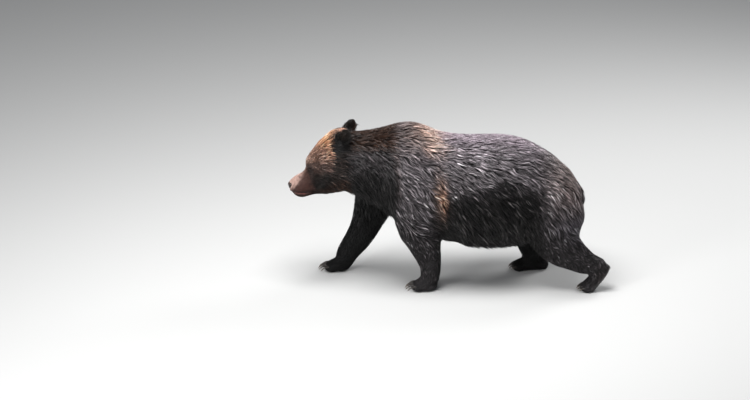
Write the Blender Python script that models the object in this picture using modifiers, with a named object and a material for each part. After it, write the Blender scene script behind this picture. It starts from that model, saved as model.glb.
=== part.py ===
"""Grizzly bear at life size, caught walking: a still model in named solids.

The bear faces -X with its left side towards -Y, and +Z is up. The whole outer form of the
wet coat is lofted and fused once, so that every part flows into the next, and is then
divided into named pieces by thin cuts. All lengths are metres.
"""

import math

import bmesh
import bpy
import numpy as np
from mathutils import Euler, Matrix, Vector

# ---- driving dimensions -------------------------------------------------------------
GAP = 0.0003  # clearance between neighbouring solids
VOXEL = 0.007  # grid on which the whole form is fused
FORM_TRIANGLES = 4200  # of the whole form before it is divided
RING_POINTS = 40
SPAN_STEPS = 6  # rings between two stations of a loft
SHARP_ANGLE = math.radians(40)

COAT_COLOUR = (0.052, 0.040, 0.036)
FACE_COLOUR = (0.150, 0.088, 0.056)
CLAW_COLOUR = (0.045, 0.036, 0.028)
NOSE_COLOUR = (0.018, 0.014, 0.013)
EYE_COLOUR = (0.020, 0.009, 0.004)

# Trunk and neck, front to back: x, top, bottom, half width, level of the widest part
# (share of the height), squareness (1 is an ellipse, less is boxier, more is a ridge).
TRUNK = (
    (-0.720, 0.985, 0.650, 0.100, 0.50, 0.95),
    (-0.640, 1.010, 0.610, 0.140, 0.48, 0.92),
    (-0.560, 1.016, 0.578, 0.176, 0.46, 0.94),
    (-0.480, 1.026, 0.530, 0.202, 0.46, 0.98),
    (-0.400, 1.046, 0.470, 0.227, 0.46, 1.02),
    (-0.320, 1.071, 0.420, 0.248, 0.46, 1.05),
    (-0.240, 1.076, 0.380, 0.266, 0.45, 1.06),
    (-0.150, 1.048, 0.340, 0.281, 0.45, 1.02),
    (-0.050, 1.003, 0.300, 0.291, 0.45, 0.97),
    (0.080, 0.982, 0.268, 0.304, 0.45, 0.92),
    (0.210, 0.980, 0.254, 0.316, 0.45, 0.90),
    (0.340, 0.979, 0.254, 0.318, 0.46, 0.90),
    (0.470, 0.955, 0.274, 0.304, 0.48, 0.92),
    (0.600, 0.890, 0.325, 0.276, 0.50, 0.94),
    (0.700, 0.816, 0.385, 0.242, 0.52, 0.96),
    (0.790, 0.722, 0.450, 0.190, 0.52, 1.00),
    (0.850, 0.634, 0.510, 0.110, 0.50, 1.00),
)

# The head has its own axes, from the nose tip back and up the skull: distance along it,
# top, bottom, half width, level of the widest part, squareness.
HEAD_ORIGIN = (-1.033, 0.0, 0.650)
HEAD_PITCH = math.radians(22)
HEAD = (
    (-0.003, 0.002, -0.026, 0.014, 0.55, 0.90),
    (0.004, 0.012, -0.044, 0.026, 0.55, 0.84),
    (0.020, 0.025, -0.088, 0.039, 0.50, 0.82),
    (0.050, 0.036, -0.110, 0.047, 0.48, 0.80),
    (0.083, 0.045, -0.116, 0.051, 0.46, 0.82),
    (0.114, 0.053, -0.118, 0.057, 0.42, 0.86),
    (0.142, 0.074, -0.122, 0.068, 0.42, 0.88),
    (0.170, 0.112, -0.129, 0.085, 0.43, 0.88),
    (0.202, 0.142, -0.139, 0.104, 0.45, 0.86),
    (0.240, 0.167, -0.147, 0.123, 0.47, 0.82),
    (0.290, 0.195, -0.156, 0.140, 0.50, 0.80),
    (0.340, 0.215, -0.166, 0.146, 0.52, 0.82),
    (0.390, 0.235, -0.176, 0.148, 0.52, 0.86),
    (0.440, 0.236, -0.182, 0.144, 0.50, 0.90),
    (0.490, 0.212, -0.170, 0.118, 0.50, 0.95),
)
NOSE = ((0.003, 0.0, -0.006), (0.021, 0.034, 0.026))  # centre and radii of the pad
NOSTRIL = ((-0.006, 0.013, -0.008), (0.012, 0.0048, 0.0062))
EYE = (0.181, 0.070, 0.070)  # near the skin, which then sets its depth
EYE_RADIUS = 0.0125
EYE_STANDS_OUT = 0.0020
MOUTH_CORNER = 0.140  # along the head's axis
MOUTH_LEVEL = -0.052
JAW_NARROWING = 0.24  # share of its width that the lower jaw loses below the mouth

EAR = (-0.637, 0.107, 1.009)
EAR_LEAD = 0.026  # the left ear is held this much further forwards
EAR_RADII = (0.022, 0.052, 0.062)
EAR_HOLLOW = 0.011  # depth of the hollow in the front of the ear
EAR_TURN = (0.0, 14.0, 52.0)
EAR_SPARED = 0.078  # the rounding off stops this far from the middle of an ear

# Limbs, from inside the trunk down: x, y, z, half depth fore and aft, half width.
FORELEG_LEFT = (
    (-0.270, -0.150, 0.860, 0.150, 0.090),
    (-0.250, -0.178, 0.740, 0.172, 0.108),
    (-0.220, -0.188, 0.620, 0.172, 0.108),
    (-0.198, -0.188, 0.512, 0.163, 0.100),
    (-0.183, -0.185, 0.408, 0.146, 0.091),
    (-0.163, -0.182, 0.335, 0.118, 0.081),
    (-0.144, -0.180, 0.265, 0.095, 0.071),
    (-0.126, -0.180, 0.200, 0.078, 0.064),
    (-0.118, -0.180, 0.140, 0.066, 0.061),
    (-0.122, -0.180, 0.065, 0.060, 0.062),
)
FORELEG_RIGHT = (
    (-0.290, 0.150, 0.860, 0.150, 0.090),
    (-0.360, 0.176, 0.740, 0.172, 0.106),
    (-0.420, 0.184, 0.620, 0.160, 0.104),
    (-0.468, 0.184, 0.510, 0.140, 0.097),
    (-0.505, 0.180, 0.400, 0.118, 0.088),
    (-0.538, 0.176, 0.310, 0.098, 0.078),
    (-0.588, 0.172, 0.215, 0.086, 0.070),
    (-0.642, 0.170, 0.140, 0.074, 0.064),
    (-0.680, 0.170, 0.065, 0.062, 0.062),
)
HINDLEG_LEFT = (
    (0.585, -0.120, 0.700, 0.170, 0.110),
    (0.625, -0.164, 0.600, 0.215, 0.132),
    (0.657, -0.184, 0.490, 0.216, 0.128),
    (0.678, -0.192, 0.390, 0.184, 0.112),
    (0.726, -0.196, 0.300, 0.140, 0.092),
    (0.806, -0.196, 0.236, 0.104, 0.076),
    (0.880, -0.194, 0.190, 0.080, 0.066),
    (0.945, -0.192, 0.170, 0.062, 0.054),
    (0.995, -0.192, 0.160, 0.046, 0.046),
)
HINDLEG_RIGHT = (
    (0.585, 0.120, 0.700, 0.170, 0.110),
    (0.605, 0.162, 0.600, 0.210, 0.132),
    (0.560, 0.182, 0.490, 0.196, 0.126),
    (0.518, 0.190, 0.390, 0.162, 0.112),
    (0.512, 0.192, 0.300, 0.118, 0.092),
    (0.530, 0.190, 0.205, 0.090, 0.076),
    (0.556, 0.188, 0.125, 0.078, 0.066),
    (0.572, 0.188, 0.065, 0.066, 0.058),
)
# The left hind foot pushes off: its sole runs from the raised heel down to the ball.
RAISED_SOLE = (
    (1.012, -0.192, 0.176, 0.030, 0.032),
    (0.994, -0.192, 0.150, 0.042, 0.044),
    (0.962, -0.192, 0.104, 0.044, 0.053),
    (0.930, -0.192, 0.062, 0.042, 0.060),
    (0.902, -0.192, 0.036, 0.038, 0.062),
)

# Muscle and fat that rounds the lofts: centre, radii, pitch about Y in degrees. Each is
# made on both sides where it isn't on the midline.
MASSES = (
    ((-0.225, 0.150, 0.790), (0.175, 0.108, 0.200), 12),  # shoulder blade
    ((-0.250, 0.000, 0.975), (0.160, 0.085, 0.100), 0),  # hump
    ((0.630, 0.130, 0.590), (0.220, 0.122, 0.190), 24),  # buttock
    ((-0.780, 0.070, 0.716), (0.096, 0.056, 0.082), 20),  # cheek
    ((-0.868, 0.044, 0.800), (0.040, 0.040, 0.032), 35),  # brow
    ((0.847, 0.000, 0.572), (0.034, 0.034, 0.075), -8),  # tail
)

# Feet, in axes with x towards the toes, from the middle of the ankle on the floor: the
# pads as (centre, radii), then the toes.
PALM = (((0.020, 0.0, 0.036), (0.080, 0.070, 0.042)),)
SOLE = (
    ((-0.040, 0.0, 0.037), (0.050, 0.044, 0.043)),
    ((0.045, 0.0, 0.035), (0.104, 0.062, 0.041)),
)
BALL = (((0.070, 0.0, 0.030), (0.052, 0.064, 0.036)),)
TOES = 5
TOE_PITCH = 0.0275  # between the middles of two toes
TOE_RADII = (0.034, 0.0165, 0.025)
TOE_HEIGHT = 0.022
TOE_SETBACK = 0.0045  # of a toe, times the square of its place from the middle one
FORE_TOE_REACH = 0.086
HIND_TOE_REACH = 0.128


class Claw:
    """The claws of one kind of foot: a horn that tapers as it curves down."""

    def __init__(self, length, root_height, first, last):
        self.length = length
        self.root_height = root_height
        self.headings = np.radians([first, last])


FORE_CLAW = Claw(0.066, 0.033, 14.0, -62.0)
HIND_CLAW = Claw(0.042, 0.029, 6.0, -52.0)
CLAW_RINGS = 5
CLAW_POINTS = 5
CLAW_RADII = (0.0068, 0.0046)  # at the root: upright, sideways
CLAW_ROOT = 0.020  # how far behind the toe's tip the claw starts

# Feet: name, ankle on the floor, toe reach, pads, claw.
FEET = (
    ("forepaw_left", (-0.128, -0.180), FORE_TOE_REACH, PALM, FORE_CLAW),
    ("forepaw_right", (-0.692, 0.172), FORE_TOE_REACH, PALM, FORE_CLAW),
    ("hindpaw_left", (0.972, -0.192), HIND_TOE_REACH - 0.028, BALL, HIND_CLAW),
    ("hindpaw_right", (0.575, 0.188), HIND_TOE_REACH, SOLE, HIND_CLAW),
)

# Cuts, in order. Each box takes its piece from what is left of the form: name, a point
# on the box, how far the box reaches from there along its own axes (low and high corner),
# and its turns about X, Y and Z in degrees.
CUTS = (
    ("forepaw_left", (-0.15, -0.18, 0.08), (-0.16, -0.13, -0.20), (0.16, 0.13, 0), (0, 0, 0)),
    ("forepaw_right", (-0.72, 0.17, 0.08), (-0.16, -0.13, -0.20), (0.16, 0.13, 0), (0, 0, 0)),
    ("hindpaw_right", (0.53, 0.19, 0.075), (-0.18, -0.13, -0.20), (0.18, 0.13, 0), (0, 0, 0)),
    ("hindpaw_left", (0.92, -0.19, 0.085), (-0.16, -0.13, -0.20), (0.16, 0.13, 0), (0, 0, 0)),
    ("foreleg_left", (-0.22, -0.16, 0.56), (-0.27, -0.5, -0.8), (0.25, 0, 0.5), (22, 0, 0)),
    ("foreleg_right", (-0.45, 0.16, 0.56), (-0.24, 0, -0.8), (0.22, 0.5, 0.5), (-22, 22, 0)),
    ("hindleg_left", (0.70, -0.16, 0.56), (-0.25, -0.5, -0.8), (0.5, 0, 0.5), (22, 0, 0)),
    ("hindleg_right", (0.62, 0.16, 0.56), (-0.25, 0, -0.8), (0.5, 0.5, 0.5), (-22, 0, 0)),
    ("head", (-0.635, 0.0, 0.80), (-0.6, -0.4, -0.5), (0, 0.4, 0.5), (0, 17, 0)),
    ("neck", (-0.425, 0.0, 0.80), (-0.6, -0.4, -0.5), (0, 0.4, 0.5), (0, 10, 0)),
    ("tail", (0.846, 0.0, 0.572), (0, -0.05, -0.08), (0.1, 0.05, 0.08), (0, -8, 0)),
)


def clear_scene():
    """Removes the objects of the file that the script starts in."""
    for item in list(bpy.data.objects):
        bpy.data.objects.remove(item)


def smooth_rows(rows, steps=SPAN_STEPS):
    """Rows of numbers joined by a Catmull-Rom spline, steps to each span."""
    rows = np.array(rows, float)
    ends = np.vstack([2 * rows[0] - rows[1], rows, 2 * rows[-1] - rows[-2]])
    t = np.linspace(0, 1, steps, endpoint=False)[:, None]
    spans = [
        0.5 * (2 * b + (c - a) * t + (2 * a - 5 * b + 4 * c - d) * t**2 + (3 * b - a - 3 * c + d) * t**3)
        for a, b, c, d in zip(ends, ends[1:], ends[2:], ends[3:])
    ]
    return np.vstack([*spans, rows[-1:]])


def rounded(cosine, power):
    """A cosine or sine raised to a power that keeps its sign, for superellipses."""
    return np.sign(cosine) * np.abs(cosine) ** power


def upright_ring(row):
    """A section across the body: points (0, y, z) of an egg whose two halves meet at its widest level."""
    _, top, bottom, half_width, widest, square = row
    angle = np.linspace(0, 2 * math.pi, RING_POINTS, endpoint=False)
    level = bottom + widest * (top - bottom)
    rise = rounded(np.sin(angle), square)
    height = level + np.where(rise > 0, (top - level) * rise, (level - bottom) * rise)
    side = half_width * rounded(np.cos(angle), square)
    return np.stack([np.zeros(RING_POINTS), side, height], axis=1)


def loft(name, rings):
    """A closed mesh through rings of equal length, with a fan over each end."""
    count = len(rings[0])
    shape = bmesh.new()
    loops = [[shape.verts.new(point) for point in ring] for ring in rings]
    for low, high in zip(loops, loops[1:]):
        for i in range(count):
            j = (i + 1) % count
            shape.faces.new((low[i], low[j], high[j], high[i]))
    for loop in (loops[0], loops[-1]):
        shape.faces.new(loop)
    bmesh.ops.triangulate(shape, faces=[f for f in shape.faces if len(f.verts) > 4])
    bmesh.ops.recalc_face_normals(shape, faces=shape.faces)
    return to_object(name, shape)


def to_object(name, shape):
    """Turns a bmesh into an object in the scene."""
    mesh = bpy.data.meshes.new(name)
    shape.to_mesh(mesh)
    shape.free()
    item = bpy.data.objects.new(name, mesh)
    bpy.context.scene.collection.objects.link(item)
    return item


def trunk_loft():
    """Neck, barrel and rump, as upright sections along X."""
    rings = []
    for row in smooth_rows(TRUNK):
        rings.append(upright_ring(row) + np.array([row[0], 0, 0]))
    return loft("trunk_loft", rings)


def head_matrix():
    """From the head's own axes (x back along the skull, z up) to the bear's."""
    return Matrix.Translation(HEAD_ORIGIN) @ Matrix.Rotation(-HEAD_PITCH, 4, "Y")


def head_loft():
    """Muzzle and skull, as sections square to the head's axis."""
    rings = []
    for row in smooth_rows(HEAD):
        ring = upright_ring(row)
        below = np.clip((MOUTH_LEVEL + 0.012 - ring[:, 2]) / 0.030, 0, 1)
        ring[:, 1] *= 1 - JAW_NARROWING * below * np.clip((0.190 - row[0]) / 0.060, 0, 1)
        rings.append(ring + np.array([row[0], 0, 0]))
    item = loft("head_loft", rings)
    item.data.transform(head_matrix())
    return item


def limb_loft(name, rows):
    """A limb of oval sections, each square to the limb's own line."""
    rows = smooth_rows(rows)
    centres = rows[:, :3]
    along = np.gradient(centres, axis=0)
    along /= np.linalg.norm(along, axis=1)[:, None]
    forward = np.cross(along, [0.0, 1.0, 0.0])
    forward /= np.linalg.norm(forward, axis=1)[:, None]
    sideways = np.cross(forward, along)
    angle = np.linspace(0, 2 * math.pi, RING_POINTS, endpoint=False)
    rings = [
        c + np.outer(np.cos(angle) * deep, f) + np.outer(np.sin(angle) * wide, s)
        for c, f, s, deep, wide in zip(centres, forward, sideways, rows[:, 3], rows[:, 4])
    ]
    return loft(name, rings)


def ellipsoid(name, centre, radii, pitch=0.0, yaw=0.0, segments=32):
    """A ball stretched to three radii, pitched about Y, then yawed about Z, in degrees."""
    shape = bmesh.new()
    bmesh.ops.create_uvsphere(shape, u_segments=segments, v_segments=segments // 2, radius=1.0)
    item = to_object(name, shape)
    turn = Matrix.Rotation(math.radians(yaw), 4, "Z") @ Matrix.Rotation(math.radians(pitch), 4, "Y")
    item.data.transform(Matrix.Translation(centre) @ turn @ Matrix.Diagonal((*radii, 1.0)))
    return item


def masses():
    """The muscle and fat, mirrored where it lies beside the midline."""
    made = []
    for centre, radii, pitch in MASSES:
        for side in (1, -1) if centre[1] else (1,):
            place = (centre[0], centre[1] * side, centre[2])
            made.append(ellipsoid("mass", place, radii, pitch))
    return made


def foot_masses(ankle, reach, pads):
    """Pads and toes of one foot, as balls stretched along the foot."""
    made = [
        ellipsoid("pad", (ankle[0] - centre[0], ankle[1] + centre[1], centre[2]), radii)
        for centre, radii in pads
    ]
    for place in toe_places(ankle, reach):
        made.append(ellipsoid("toe", place, TOE_RADII))
    return made


def toe_places(ankle, reach):
    """Middles of the five toes, which stand in a shallow arc."""
    for i in range(-(TOES // 2), TOES // 2 + 1):
        x = ankle[0] - reach + TOE_SETBACK * i * i
        yield (x, ankle[1] + i * TOE_PITCH, TOE_HEIGHT)


def ear_centre(side):
    """Middle of the ear on one side: -1 is left."""
    lead = EAR_LEAD if side < 0 else 0.0
    return (EAR[0] - lead, EAR[1] * side, EAR[2])


def ears():
    """Round ears that face forwards and out, hollowed in front."""
    made = []
    for side in (-1, 1):
        centre = Vector(ear_centre(side))
        turn = (EAR_TURN[1], -EAR_TURN[2] * side)
        ear = ellipsoid("ear", centre, EAR_RADII, *turn)
        spin = Matrix.Rotation(math.radians(turn[1]), 3, "Z")
        spin = spin @ Matrix.Rotation(math.radians(turn[0]), 3, "Y")
        front = centre + spin @ Vector((-EAR_RADII[0] * 2 + EAR_HOLLOW, 0, 0.010))
        hollow = (EAR_RADII[0], EAR_RADII[1] * 0.66, EAR_RADII[2] * 0.66)
        combine(ear, ellipsoid("hollow", front, hollow, *turn), "DIFFERENCE")
        made.append(ear)
    return made


def fuse(items):
    """One closed skin over everything, smoothed most on the body, then thinned out."""
    shape = bmesh.new()
    for item in items:
        shape.from_mesh(item.data)
        bpy.data.objects.remove(item)
    form = to_object("form", shape)
    remesh = form.modifiers.new("Remesh", "REMESH")
    remesh.mode = "VOXEL"
    remesh.voxel_size = VOXEL
    bake(form)
    rounded_off = form.vertex_groups.new(name="rounded off")
    ear_middles = [Vector(ear_centre(side)) for side in (-1, 1)]
    for vertex in form.data.vertices:
        x, y, z = vertex.co
        in_ear = min((vertex.co - middle).length for middle in ear_middles) < EAR_SPARED
        spared = in_ear or x < -0.66 and z > 0.5 or x > 0.83 and abs(y) < 0.06
        share = 0.0 if spared else min(max((z - 0.22) / 0.20, 0.0), 1.0)
        rounded_off.add([vertex.index], share, "REPLACE")
    for name, iterations, region in (("Smooth", 6, ""), ("Round off", 100, "rounded off")):
        smooth = form.modifiers.new(name, "SMOOTH")
        smooth.factor = 0.5
        smooth.iterations = iterations
        smooth.vertex_group = region
    thin = form.modifiers.new("Decimate", "DECIMATE")
    thin.ratio = FORM_TRIANGLES / (2 * len(form.data.polygons))
    bake(form)
    return form


def bake(item):
    """Replaces an object's mesh by what its modifiers make of it."""
    graph = bpy.context.evaluated_depsgraph_get()
    made = bpy.data.meshes.new_from_object(item.evaluated_get(graph))
    item.modifiers.clear()
    item.data = made


def turned(point, turn):
    """Places a local frame: turns about X, Y and Z in degrees, then a move to a point."""
    spin = Euler([math.radians(angle) for angle in turn]).to_matrix().to_4x4()
    return Matrix.Translation(point) @ spin


def block(name, frame, low, high, grow=0.0):
    """A box between two corners of a local frame, grown by a margin on every side."""
    shape = bmesh.new()
    bmesh.ops.create_cube(shape, size=1.0)
    item = to_object(name, shape)
    size = [b - a + 2 * grow for a, b in zip(low, high)]
    middle = [(a + b) / 2 for a, b in zip(low, high)]
    item.data.transform(frame @ Matrix.Translation(middle) @ Matrix.Diagonal((*size, 1.0)))
    return item


def combine(item, tool, operation):
    """Adds an exact Boolean to an item, bakes it and removes the tool."""
    step = item.modifiers.new("Boolean", "BOOLEAN")
    step.operation = operation
    step.solver = "EXACT"
    step.object = tool
    bake(item)
    bpy.data.objects.remove(tool)


def twin(item, name):
    """A copy of an object with a mesh of its own."""
    copy = bpy.data.objects.new(name, item.data.copy())
    bpy.context.scene.collection.objects.link(copy)
    return copy


def part_off(rest, name, cutter):
    """Takes the piece inside a cutter off the rest; cutter(grow) makes the tool."""
    piece = twin(rest, name)
    combine(piece, cutter(0.0), "INTERSECT")
    combine(rest, cutter(GAP), "DIFFERENCE")
    return piece


def claw(name, root, kind, grow=0.0):
    """A horn whose oval sections shrink as its line curves down from the toe."""
    shares = np.linspace(0, 1, CLAW_RINGS)
    headings = kind.headings[0] + (kind.headings[1] - kind.headings[0]) * shares
    step = kind.length / (CLAW_RINGS - 1)
    x, z = root[0], root[2]
    angle = np.linspace(0, 2 * math.pi, CLAW_POINTS, endpoint=False)
    rings = []
    for share, heading in zip(shares, headings):
        taper = 1 - 0.84 * share**1.6
        high = CLAW_RADII[0] * taper + grow
        wide = CLAW_RADII[1] * taper + grow
        along = grow * (2 * share - 1)
        middle = np.array([x - along * math.cos(heading), root[1], z + along * math.sin(heading)])
        up = np.array([math.sin(heading), 0.0, math.cos(heading)])
        rings.append(middle + np.outer(np.sin(angle) * high, up) + np.outer(np.cos(angle) * wide, [0, 1, 0]))
        x -= step * math.cos(heading)
        z += step * math.sin(heading)
    return loft(name, rings)


def whole_form():
    """Every loft and mass of the bear, fused and stood on the floor."""
    parts = [
        trunk_loft(),
        head_loft(),
        limb_loft("foreleg_left", FORELEG_LEFT),
        limb_loft("foreleg_right", FORELEG_RIGHT),
        limb_loft("hindleg_left", HINDLEG_LEFT),
        limb_loft("hindleg_right", HINDLEG_RIGHT),
        limb_loft("raised_sole", RAISED_SOLE),
        *masses(),
        *ears(),
    ]
    for _, ankle, reach, pads, _ in FEET:
        parts += foot_masses(ankle, reach, pads)
    form = fuse(parts)
    floor = block("floor", Matrix.Identity(4), (-2, -1, -1), (2, 1, 0))
    combine(form, floor, "DIFFERENCE")
    return form


def ear_cutter(side):
    """Box over one ear, whose bottom crosses the root of the ear."""
    turn = (0, EAR_TURN[1], -EAR_TURN[2] * side)
    frame = turned(ear_centre(side), turn)
    return lambda grow: block("cutter", frame, (-0.045, -0.07, -0.012), (0.045, 0.07, 0.1), grow)


def divide(form):
    """Parts the whole form into its named pieces."""
    pieces = {}
    for name, side in (("ear_left", -1), ("ear_right", 1)):
        pieces[name] = part_off(form, name, ear_cutter(side))
    for name, point, low, high, turn in CUTS:
        frame = turned(point, turn)

        def cutter(grow, frame=frame, low=low, high=high):
            return block("cutter", frame, low, high, grow)

        pieces[name] = part_off(form, name, cutter)
    form.name = "trunk"
    pieces["trunk"] = form
    return pieces


def divide_head(pieces):
    """Parts nose, jaw and eyes from the head, all in the head's own axes."""
    head = pieces["head"]
    axes = head_matrix()

    def nose_cutter(grow):
        item = ellipsoid("cutter", NOSE[0], [radius + grow for radius in NOSE[1]], segments=18)
        item.data.transform(axes)
        return item

    def jaw_cutter(grow):
        return block("cutter", axes, (-0.05, -0.1, -0.2), (MOUTH_CORNER, 0.1, MOUTH_LEVEL), grow)

    pieces["nose"] = part_off(head, "nose", nose_cutter)
    pieces["jaw"] = part_off(head, "jaw", jaw_cutter)
    for side in (-1, 1):
        centre, radii = NOSTRIL
        place = (centre[0], centre[1] * side, centre[2])
        nostril = ellipsoid("nostril", place, radii, 0, 14 * side, segments=10)
        nostril.data.transform(axes)
        combine(pieces["nose"], nostril, "DIFFERENCE")
        near = axes @ Vector((EYE[0], EYE[1] * side, EYE[2]))
        _, skin, out, _ = head.closest_point_on_mesh(near)
        centre = skin - out * (EYE_RADIUS - EYE_STANDS_OUT)
        name = "eye_left" if side < 0 else "eye_right"
        pieces[name] = ball(name, centre, EYE_RADIUS)
        combine(head, ball("socket", centre, EYE_RADIUS + GAP), "DIFFERENCE")


def ball(name, centre, radius):
    """A round ball of triangles."""
    shape = bmesh.new()
    bmesh.ops.create_icosphere(shape, subdivisions=2, radius=radius)
    item = to_object(name, shape)
    item.data.transform(Matrix.Translation(centre))
    return item


def add_claws(pieces):
    """Five claws to a foot, each in a socket in its toe."""
    for foot, ankle, reach, _, kind in FEET:
        for i, place in enumerate(toe_places(ankle, reach)):
            name = f"{foot}_claw_{i + 1}"
            root = (place[0] - TOE_RADII[0] + CLAW_ROOT, place[1], kind.root_height)
            combine(pieces[foot], claw("socket", root, kind, GAP), "DIFFERENCE")
            pieces[name] = claw(name, root, kind)


def settle(pieces):
    """Moves the bear so that its origin is the middle of its footprint on the floor."""
    corners = np.vstack([[v.co[:] for v in item.data.vertices] for item in pieces.values()])
    low, high = corners.min(axis=0), corners.max(axis=0)
    shift = Vector((-(low[0] + high[0]) / 2, -(low[1] + high[1]) / 2, -low[2]))
    for item in pieces.values():
        item.data.transform(Matrix.Translation(shift))


def material(name, colour, roughness):
    """A plain Principled material."""
    made = bpy.data.materials.new(name)
    made.use_nodes = True
    shader = made.node_tree.nodes["Principled BSDF"]
    shader.inputs["Base Color"].default_value = (*colour, 1.0)
    shader.inputs["Roughness"].default_value = roughness
    return made


def finish(pieces):
    """Gives each piece its material, shades it smooth and files it under the bear."""
    coat = material("wet coat", COAT_COLOUR, 0.5)
    face = material("face", FACE_COLOUR, 0.6)
    dark = {
        "claw": material("claw", CLAW_COLOUR, 0.4),
        "nose": material("nose leather", NOSE_COLOUR, 0.45),
        "eye": material("eye", EYE_COLOUR, 0.1),
    }
    bear = bpy.data.collections.new("grizzly bear")
    bpy.context.scene.collection.children.link(bear)
    for name, item in pieces.items():
        for other in list(item.users_collection):
            other.objects.unlink(item)
        bear.objects.link(item)
        item.name = name
        item.data.name = name
        kind = next((finish for word, finish in dark.items() if word in name.split("_")), coat)
        item.data.materials.clear()
        item.data.materials.append(face if name in ("head", "jaw") else kind)
        item.data.shade_smooth()
        item.data.set_sharp_from_angle(angle=SHARP_ANGLE)


def main():
    """Builds the bear."""
    clear_scene()
    form = whole_form()
    pieces = divide(form)
    divide_head(pieces)
    add_claws(pieces)
    settle(pieces)
    finish(pieces)


main()
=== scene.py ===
import logging
import math
from collections.abc import Callable, Sequence
from dataclasses import dataclass
from enum import Enum

import bmesh
import bpy
import numpy as np
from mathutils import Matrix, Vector
from mathutils.kdtree import KDTree


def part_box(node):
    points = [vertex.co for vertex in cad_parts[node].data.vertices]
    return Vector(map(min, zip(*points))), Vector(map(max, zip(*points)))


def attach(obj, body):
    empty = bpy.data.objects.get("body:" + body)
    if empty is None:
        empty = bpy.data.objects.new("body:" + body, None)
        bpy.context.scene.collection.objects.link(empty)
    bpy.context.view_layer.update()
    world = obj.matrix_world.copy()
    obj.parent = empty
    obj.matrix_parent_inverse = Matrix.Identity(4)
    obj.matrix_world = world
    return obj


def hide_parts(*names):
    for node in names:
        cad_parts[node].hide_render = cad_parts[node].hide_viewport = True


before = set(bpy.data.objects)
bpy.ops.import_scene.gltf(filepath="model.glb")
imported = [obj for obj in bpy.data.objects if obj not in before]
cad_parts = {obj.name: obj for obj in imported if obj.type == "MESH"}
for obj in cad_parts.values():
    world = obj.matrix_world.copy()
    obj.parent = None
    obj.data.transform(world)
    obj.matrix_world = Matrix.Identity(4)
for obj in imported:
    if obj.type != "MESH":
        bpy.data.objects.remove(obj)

LOG = logging.getLogger("grizzly_bear")
Array = np.ndarray
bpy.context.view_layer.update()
BODY = "root"
SEED = 20
TINT = "tint"  # colour attribute shared by the skin and its coat
BAKE_MAP = "OFBake"
LIE_MAP = "lie"  # runs across and along each tuft
PATCH = 0.003  # a tuft's width on its bake map
WELD = 1e-5  # corners nearer than this are one point
THROWS = 5  # random throws for each spot kept


class Side(Enum):
    """The bear's own sides, with the sign of Y that each lies on."""

    LEFT = -1
    RIGHT = 1

    @property
    def word(self) -> str:
        """The side's name as the nodes spell it."""
        return self.name.lower()


def unit(vectors: Array) -> Array:
    """Vectors brought to length one along their last axis."""
    return vectors / np.maximum(np.linalg.norm(vectors, axis=-1, keepdims=True), 1e-12)


def dot(a: Array, b: Array) -> Array:
    """Row by row products of two arrays of vectors, kept as a column."""
    return (a * b).sum(-1, keepdims=True)


def rise(start: float, end: float, values: Array) -> Array:
    """Smooth step: 0 before start, 1 after end, 3t^2 - 2t^3 between them."""
    t = np.clip((values - start) / (end - start), 0.0, 1.0)
    return t * t * (3.0 - 2.0 * t)


def mix(first: Array | float, second: Array | float, share: Array) -> Array:
    """The first moved towards the second by a share from 0 to 1."""
    return first + (second - first) * share


def bell(values: Array, width: Array | float) -> Array:
    """1 at zero and less on both sides: e to the minus squared value, measured in widths."""
    return np.exp(-((values / width) ** 2))


def blob(points: Array, centre: Sequence[float], radii: Sequence[float]) -> Array:
    """A soft spot: e to the minus squared distance from the centre, measured in its radii."""
    return np.exp(-((((points - centre) / radii) ** 2).sum(-1)))


def paint(red: float, green: float, blue: float) -> Array:
    """A screen colour of 0 to 255 as linear light."""
    c = np.array([red, green, blue]) / 255.0
    return np.where(c <= 0.04045, c / 12.92, ((c + 0.055) / 1.055) ** 2.4)


def ripple(points: Array, wavelength: float, seed: int) -> Array:
    """Smooth noise near -1 to 1: the mean of six sine waves of random heading and phase."""
    rng = np.random.default_rng(seed)
    heading = unit(rng.normal(size=(6, 3)))
    pace = 2 * math.pi / (wavelength * rng.uniform(0.7, 1.5, 6))
    waves = np.sin(points @ (heading * pace[:, None]).T + rng.uniform(0, 2 * math.pi, 6))
    return waves.mean(-1) * 1.8


@dataclass(frozen=True)
class Skull:
    """Axes of the head: a runs back and up the skull from the nose, b stands up from it."""

    pitch: float = math.radians(22.0)
    nose_tip: float = 0.002
    height: float = 0.650

    @property
    def turn(self) -> Array:
        """Rows are the world directions of a, y and b."""
        c, s = math.cos(self.pitch), math.sin(self.pitch)
        return np.array([[c, 0, s], [0, 1, 0], [-s, 0, c]])

    @property
    def origin(self) -> Array:
        """Where a and b start, on the nose."""
        return np.array([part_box("nose")[0][0] + self.nose_tip, 0.0, self.height])

    def axes(self, points: Array) -> tuple[Array, Array, Array]:
        """World points as their a, y and b."""
        own = (points - self.origin) @ self.turn.T
        return own[..., 0], own[..., 1], own[..., 2]

    def place(self, own: Array) -> Array:
        """Points given as a, y and b, in the world."""
        return np.asarray(own) @ self.turn + self.origin

    def head(self, own: Array) -> Array:
        """Directions given along a, y and b, in the world."""
        return np.asarray(own) @ self.turn


SKULL = Skull()


def middle_of(node: str) -> Array:
    """Middle of a node's box."""
    low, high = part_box(node)
    return (np.array(low) + np.array(high)) / 2


def eye_centre(side: Side) -> Array:
    """Middle of the eyeball on one side."""
    return middle_of(f"eye_{side.word}")


def from_eyes(points: Array) -> Array:
    """Distance to the middle of the nearer eye."""
    return np.min([np.linalg.norm(points - eye_centre(side), axis=1) for side in Side], axis=0)


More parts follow.
